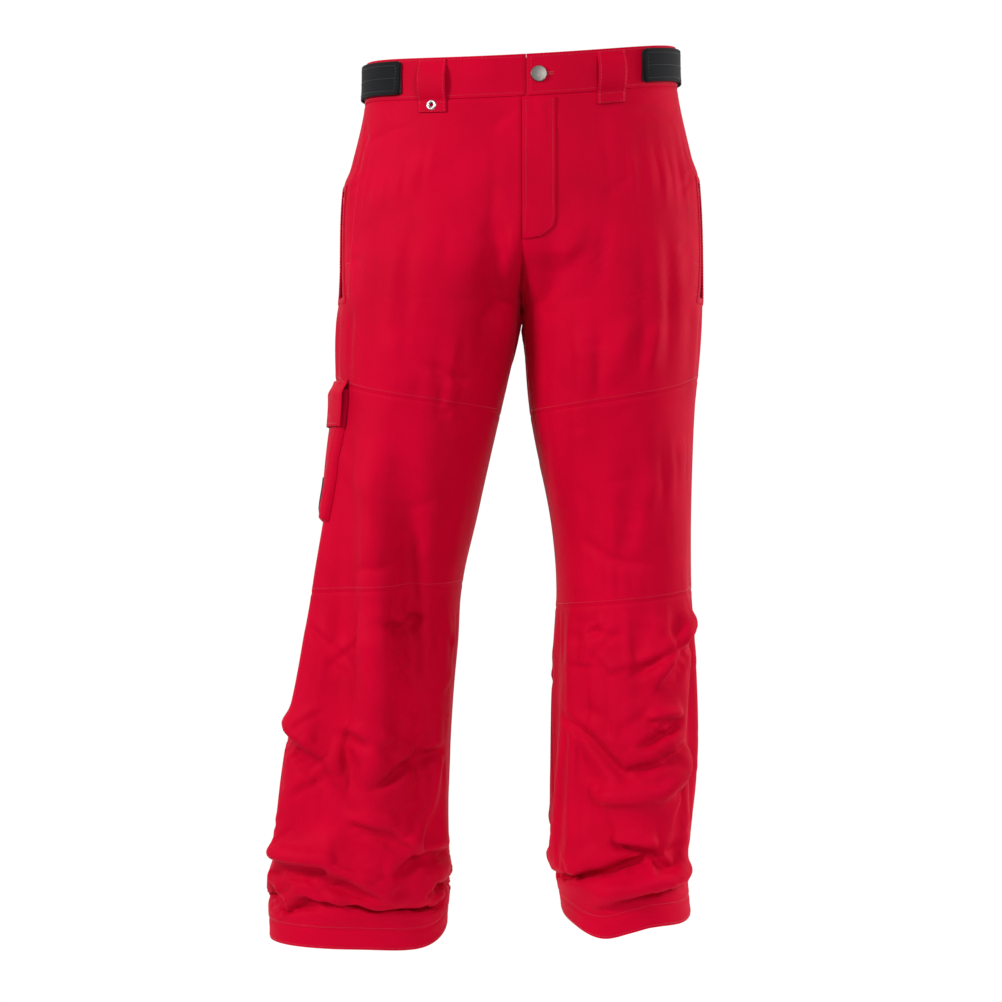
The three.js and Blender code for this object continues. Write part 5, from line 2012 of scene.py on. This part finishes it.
@dataclass
class WaistTabs:
    """The two webbing tabs that lie on the waistband and close with hook and loop."""

    drape: Drape
    finishes: Finishes
    top: float = -4
    height: float = 38
    front: float = 138
    rear: float = 0.667
    lift: float = 4.1
    thickness: float = 1.9
    corner: float = 4.5

    def build(self) -> None:
        """Lay both tabs and stitch them."""
        for side in Side:
            self.tab(side)

    def place(self, side: Side) -> Callable[[Array, Array], tuple[Array, Array]]:
        """Place a tab: its front end has rounded corners and slants a little."""
        front = self.drape.form.front_turn(side.value * self.front, self.top - self.height / 2)

        def on_side(u: Array, v: Array) -> tuple[Array, Array]:
            share = u if side is Side.LEFT else 1 - u
            height = self.top - self.height * v
            near = np.minimum(v, 1 - v) * self.height
            inset = (
                self.corner * (1 - np.sqrt(1 - np.clip(1 - near / self.corner, 0, 1) ** 2)) + 1.5 * v - 2.5
            )
            start = front + inset / 470
            turn = start + (self.rear - start) * share
            return (turn if side is Side.LEFT else 2 - turn), height

        return on_side

    def tab(self, side: Side) -> None:
        """Lay one tab."""
        w, place = side.word, self.place(side)
        piece, _ = lay(
            self.drape, f"waist_tab_{w}_webbing", (70, 20), place, self.lift, self.thickness,
            f"tab_{w}", self.finishes.webbing, edge=0.012,
        )
        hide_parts(f"waist_tab_{w}")
        sewn = Stitching(self.drape, self.finishes.dark_thread)
        high = self.lift + self.thickness + 0.1
        for v in (0.12, 0.5, 0.88):
            way, height = place(np.linspace(0.03, 0.97, 60), np.full(60, v))
            sewn.line(way, height, high)
        ends = 0.03 if side is Side.LEFT else 0.97
        way, height = place(np.full(20, ends), np.linspace(0.15, 0.85, 20))
        sewn.line(way, height, high)
        stitches = sewn.build(f"stitches_waist_tab_{w}")
        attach(stitches, f"tab_{w}")


# ---- Hand pockets ----------------------------------------------------------------------------------------


@dataclass
class HandPockets:
    """The zipped hand pockets: a welt round each opening, the zip in it, and the facing's seam in front."""

    drape: Drape
    finishes: Finishes
    turn: float = 0.45
    top: float = -154
    bottom: float = -277
    tail: float = 8
    slot: float = 0.0146
    margin: float = 7
    depth: float = 1.2
    facing: tuple[tuple[float, float], ...] = ((176, -84), (184, -112), (191, -160), (195, -215), (199, -287))

    def build(self) -> None:
        """Build both pockets."""
        for side in Side:
            self.pocket(side)

    def pocket(self, side: Side) -> None:
        """Build one pocket's welt, zip and stitches."""
        d, f, w = self.drape, self.finishes, side.word
        middle = self.turn if side is Side.LEFT else 2 - self.turn
        reach = self.slot + self.margin / 480
        top, bottom = self.top + self.margin, self.bottom - self.tail - self.margin
        ways = middle + np.unique([-reach, -reach * 0.94, -reach * 0.8, -self.slot * 1.12, -self.slot,
                                   self.slot, self.slot * 1.12, reach * 0.8, reach * 0.94, reach])
        levels = np.concatenate([
            [top, top - 0.7, top - 3, self.top + 1.5, self.top],
            np.linspace(self.top, self.bottom - self.tail, 46)[1:-1],
            [self.bottom - self.tail, self.bottom - self.tail - 1.5, bottom + 3, bottom + 0.7, bottom],
        ])
        way, height = np.meshgrid(ways, levels)
        point, _, _, out = d.spot(way, height)
        far = np.minimum(np.abs(np.abs(way - middle) - self.slot), np.abs(reach - np.abs(way - middle))) * 480
        ends = np.minimum(np.abs(top - height), np.abs(height - bottom))
        rise = 1.15 - 0.6 * np.exp(-np.minimum(far, np.maximum(ends, 0)) / 0.8)
        outer = point + out * rise[..., None]
        inner = point + out * 0.15
        in_way = np.abs((ways[1:] + ways[:-1]) / 2 - middle) < self.slot
        mid_level = (levels[1:] + levels[:-1]) / 2
        in_level = (mid_level < self.top) & (mid_level > self.bottom - self.tail)
        welt = cloth_sheet(
            f"hand_pocket_{w}_welt_cloth", outer, inner, keep=~(in_level[:, None] & in_way[None])
        )
        welt.data.materials.append(f.shell)
        welt.data.materials.append(f.shell)
        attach(welt, "pelvis")
        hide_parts(f"hand_pocket_{w}_welt")
        line = Line.between(d, middle, self.top, middle, self.bottom)
        Zip(f"hand_pocket_{w}", line, f, self.depth, f"hand_slider_{w}", f"hand_pull_{w}").build()
        sewn = Stitching(d, f.thread)
        for offset in (-1, 1):
            edge = middle + offset * (self.slot + (reach - self.slot) * 0.5)
            sewn.line([edge, edge], [top - 3, bottom + 3], 1.2)
        for level in (top - 3.2, bottom + 3.2):
            sewn.line([middle - reach * 0.7, middle + reach * 0.7], [level, level], 1.2)
        facing = [d.front_way(side.value * x, h) for x, h in self.facing]
        if side is Side.RIGHT:
            facing = [2 + way for way in facing]
        sewn.line(facing, [h for _, h in self.facing], 0.12)
        for height in (-246, -282):
            start = float(np.interp(height, [h for _, h in self.facing][::-1], facing[::-1]))
            sewn.line([start, start + side.value * 0.03], [height, height - 1], 0.15)
        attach(sewn.build(f"stitches_hand_pocket_{w}"), "pelvis")


# ---- Cargo pocket ----------------------------------------------------------------------------------------


@dataclass
class CargoPocket:
    """The pocket on the wearer's right thigh, with bellows sides, a flap and an oval badge."""

    drape: Drape
    finishes: Finishes
    middle: float = 1.5
    half: float = 0.098
    top: float = -387
    bottom: float = -538
    depth: float = 5.2
    flap_top: float = -376
    flap_height: float = 54
    badge_way: float = 1.545
    badge_middle: float = -507
    badge_size: tuple[float, float] = (24, 40)

    def full(self, u: Array, v: Array) -> Array:
        """Give how far the pocket's face stands off the thigh, falling to its seams at the edges."""
        near = np.minimum(np.minimum(u, 1 - u) * 122, (1 - v) * 151)
        near = np.minimum(near, 8 + 60 * v)
        slack = 0.7 * np.sin(5 * u + 3.1 * v) * np.sin(7.3 * v + 1.2)
        pleat = -0.9 * np.exp(-(((near - 7.5) / 1.8) ** 2))
        return (self.depth + slack) * (1 - np.exp(-((near / 3.0) ** 1.5))) + pleat

    def build(self) -> None:
        """Build the pocket, its patches, flap and badge."""
        d, f = self.drape, self.finishes
        a, b = self.middle - self.half, self.middle + self.half
        pocket, _ = lay(
            d, "cargo_pocket_cloth", (60, 72), way_place(a, b, self.top, self.bottom),
            lambda u, v: 0.2 + self.full(u, v), 1.1, "", f.shell, edge=0.01,
        )
        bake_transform(pocket)
        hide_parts("cargo_pocket")
        (width, length), _ = cut_size(d.unfolded(*way_place(a, b, self.top, self.bottom)(*cut_grid())))
        # The pocket's cut wraps its depth down both sides and the bottom.
        declare_sheet(pocket, (width + 2 * self.depth * MM, length + self.depth * MM), None)
        third = self.half / 3
        patches = (("cargo_loop_patch", "thigh_right", -401, -421, self.depth + 1.9, 0.7),
                   ("cargo_hook_patch", "cargo_flap", -402, -420, self.depth + 2.7, 0.6))
        for name, body, top, bottom, low, thick in patches:
            place = way_place(self.middle - third, self.middle + third, top, bottom)
            patch, _ = lay(
                d, f"{name}_pile", (16, 8), place, low, thick, body, f.pile, edge=0.04
            )
            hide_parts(name)
        self.flap()
        self.badge()
        sewn = Stitching(d, f.thread)
        for inset, lift in ((0.012, 1.6), (0.042, 6.7)):
            for way in (a + inset * 0.5, b - inset * 0.5):
                sewn.line([way, way], [self.top - 6, self.bottom + 4], lift - (0.4 if inset < 0.02 else 1.0))
        sewn.line([a + 0.012, b - 0.012], [self.bottom + 1.6, self.bottom + 1.6], 1.5)
        stitches = sewn.build("stitches_cargo_pocket")
        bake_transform(stitches)

    def flap(self) -> None:
        """Lay the flap: sewn to the thigh at its top and lying on the pocket below."""
        d, f = self.drape, self.finishes
        a, b = self.middle - self.half - 0.003, self.middle + self.half + 0.003
        low = self.depth + 3.4
        height = self.flap_height

        def lift(u: Array, v: Array) -> Array:
            return 1.2 + (low - 1.2) * smooth(v / 0.3) - 0.8 * smooth((v - 0.6) / 0.4) * (2 * u - 1) ** 2

        place = way_place(a, b, self.flap_top, self.flap_top - height)
        flap, outer = lay(d, "cargo_flap_cloth", (54, 30), place, lift, 1.5, "cargo_flap", f.shell,
                          back=f.lining, edge=0.02)
        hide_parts("cargo_flap")
        flat, area = cut_size(d.unfolded(*place(*cut_grid())))
        declare_sheet(flap, flat, area)
        sewn = Stitching(d, f.thread)
        rows, cols = outer.shape[:2]
        outs = unit(np.cross(np.gradient(outer, axis=1), -np.gradient(outer, axis=0)))
        for j in (3, rows - 5):
            sewn.along(outer[j, 3:-3] + outs[j, 3:-3] * 0.1, outs[j, 3:-3])
        for i in (4, cols - 5):
            sewn.along(outer[3:-4, i] + outs[3:-4, i] * 0.1, outs[3:-4, i])
        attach(sewn.build("stitches_cargo_flap"), "cargo_flap")

    def badge(self) -> None:
        """Lay the plain oval badge, with a raised sewn rim and three plain bars."""
        d, f = self.drape, self.finishes
        rings = np.concatenate([np.linspace(0, 0.82, 9), [0.86, 0.9, 0.95, 0.985, 1.0]])
        angles = np.linspace(0, 2 * np.pi, 61)[:-1]
        half_way, half_high = self.badge_size[0] / 2 / 640, self.badge_size[1] / 2
        ring, angle = np.meshgrid(rings[::-1], angles, indexing="ij")
        way = self.badge_way + ring * half_way * np.cos(angle)
        height = self.badge_middle + ring * half_high * np.sin(angle)
        point, _, _, out = d.spot(way, height)
        u = (way - self.middle + self.half) / (2 * self.half)
        v = (self.top - height) / (self.top - self.bottom)
        base = self.full(u, v) + 1.35
        rim = 0.7 * np.exp(-(((ring - 0.92) / 0.055) ** 2))
        top = point + out * (base + 0.8 + rim - 0.7 * smooth((ring - 0.97) / 0.03))[..., None]
        bottom = point + out * base[..., None]
        rows, cols = ring.shape
        count = rows * cols
        faces: list[tuple[int, ...]] = []
        for j in range(rows - 2):
            for i in range(cols):
                n = (i + 1) % cols
                quad = (j * cols + i, j * cols + n, (j + 1) * cols + n, (j + 1) * cols + i)
                faces += [quad, tuple(count + k for k in quad[::-1])]
        last = (rows - 2) * cols
        centre, under = (rows - 1) * cols, count + (rows - 1) * cols
        for i in range(cols):
            n = (i + 1) % cols
            faces += [(last + i, last + n, centre), (count + last + n, count + last + i, under)]
            faces.append((n, i, count + i, count + n))
        points = np.concatenate([top.reshape(-1, 3), bottom.reshape(-1, 3)])
        used = np.unique(np.concatenate([np.array(face) for face in faces]))
        renumber = np.full(len(points), -1)
        renumber[used] = np.arange(len(used))
        piece = make_mesh("cargo_badge_oval", points[used] * MM, [renumber[list(face)] for face in faces])
        piece.data.materials.append(f.badge)
        shade(piece, 60)
        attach(piece, "thigh_right")
        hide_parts("cargo_badge")
        marks = Stitching(d, f.badge_mark, length=1.6, gap=0.1, width=1.2)
        lift = self.depth + 2.2
        for level, reach in ((7, 0.0085), (0, 0.0115), (-7, 0.0085)):
            marks.line(
                [self.badge_way - reach, self.badge_way + reach], [self.badge_middle + level] * 2, lift
            )
        bars = marks.build("cargo_badge_bars")
        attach(bars, "thigh_right")


# ---- Gaiters ---------------------------------------------------------------------------------------------


@dataclass
class Gaiters:
    """The snow gaiters inside the lower legs, gathered into a ribbed elastic at the bottom."""

    drape: Drape
    finishes: Finishes
    top: float = 240
    bottom: float = 52
    elastic: float = 22
    gathers: int = 54

    def build(self) -> None:
        """Build both gaiters."""
        for side in Side:
            self.gaiter(side)

    def points(self, side: Side, heights: Array, inset: float) -> tuple[Array, Array]:
        """Place rings inside a leg, following the folded cloth at the top and its own shape below."""
        hem = self.drape.form.hem[side]
        turns = np.linspace(0, 1, 6 * self.gathers + 1)[:-1]
        ways = turns if side is Side.LEFT else (2 - turns)[::-1]
        way, height = np.meshgrid(ways, heights)
        share = np.clip((self.top - hem - height) / (self.top - self.bottom), 0, 1)
        point, _, _, out = self.drape.spot(way, height)
        turn = np.where(way <= 1, way, 2 - way)
        form = self.drape.form.point(side, turn, height)
        outward = self.drape.form.outward(side, np.clip(turn, 0.006, 0.994), height)
        wave = np.sin(2 * np.pi * self.gathers * turn) * 1.6 * smooth((share - 0.25) / 0.7)
        near = point - out * 15.0
        far = form - outward * 27.0
        mixed = near + (far - near) * smooth(share)[..., None]
        return mixed + outward * (wave + inset)[..., None], outward

    def unfolded(self, side: Side, heights: Array) -> Array:
        """Place the gaiter's rings inside the bare form, with no gathers in them."""
        hem = self.drape.form.hem[side]
        turn, height = np.meshgrid(np.linspace(0, 1, 121)[:-1], heights)
        share = np.clip((self.top - hem - height) / (self.top - self.bottom), 0, 1)
        outward = self.drape.form.outward(side, np.clip(turn, 0.006, 0.994), height)
        inset = 15.0 + 12.0 * smooth(share)
        return self.drape.form.point(side, turn, height) - outward * inset[..., None]

    def gaiter(self, side: Side) -> None:
        """Build one gaiter and its elastic."""
        f, w = self.finishes, side.word
        hem = self.drape.form.hem[side]
        heights = np.linspace(self.top - hem, self.bottom - hem, 60)
        outer, outward = self.points(side, heights, 0.0)
        cloth = cloth_sheet(f"gaiter_{w}_cloth", outer, outer - outward * 0.8, ring=True)
        cloth.data.materials.append(f.lining)
        cloth.data.materials.append(f.lining)
        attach(cloth, f"shin_{w}")
        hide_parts(f"gaiter_{w}")
        flat, area = cut_size(self.unfolded(side, heights), ring=True)
        declare_sheet(cloth, flat, area)
        low = self.bottom - hem
        heights = np.concatenate([[low, low - 0.8], np.linspace(low - 2, low - self.elastic + 2, 10),
                                  [low - self.elastic + 0.8, low - self.elastic]])
        outer, outward = self.points(side, heights, 0.4)
        inner = outer - outward * 2.0
        elastic = cloth_sheet(f"gaiter_elastic_{w}_band", outer, inner, ring=True)
        elastic.data.materials.append(f.elastic)
        elastic.data.materials.append(f.elastic)
        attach(elastic, f"shin_{w}")
        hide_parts(f"gaiter_elastic_{w}")


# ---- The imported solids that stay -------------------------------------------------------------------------


def dress_packed(nodes: dict[str, bpy.types.Object], finishes: Finishes) -> None:
    """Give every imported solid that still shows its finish.

    Args:
        nodes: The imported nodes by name.
        finishes: The trousers' materials.
    """
    for name, node in nodes.items():
        if "patch" in name:
            material = finishes.pile
        elif name.endswith("_bag"):
            material = finishes.lining
        # The zip tapes take the darker red that is painted shade for the zip openings.
        elif "zip_tape" in name:
            material = finishes.dark_shell
        elif name in ("eyelet_washer", "waist_button_post"):
            material = finishes.nickel
        else:
            material = finishes.shell
        node.data.materials.clear()
        node.data.materials.append(material)


def main() -> None:
    """Build the trousers class by class."""
    logging.basicConfig(level=logging.INFO, format="%(name)s: %(message)s")
    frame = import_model()
    packed_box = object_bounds()
    LOG.info("packed model: %d nodes", len(frame["nodes"]))
    Studio().build(packed_box[0][2])
    finishes = Finishes.build()
    dress_packed(frame["nodes"], finishes)
    drape = Drape(TrouserForm())
    drape.drape()
    LOG.info("cloth draped")
    ShellPanels(drape, finishes).build()
    for assembly in (Waistband, Fly, WaistButton, BeltLoops, WaistTabs, HandPockets, CargoPocket, Gaiters):
        assembly(drape, finishes).build()
        LOG.info("built %s", assembly.__name__)


if __name__ == "__main__":
    main()
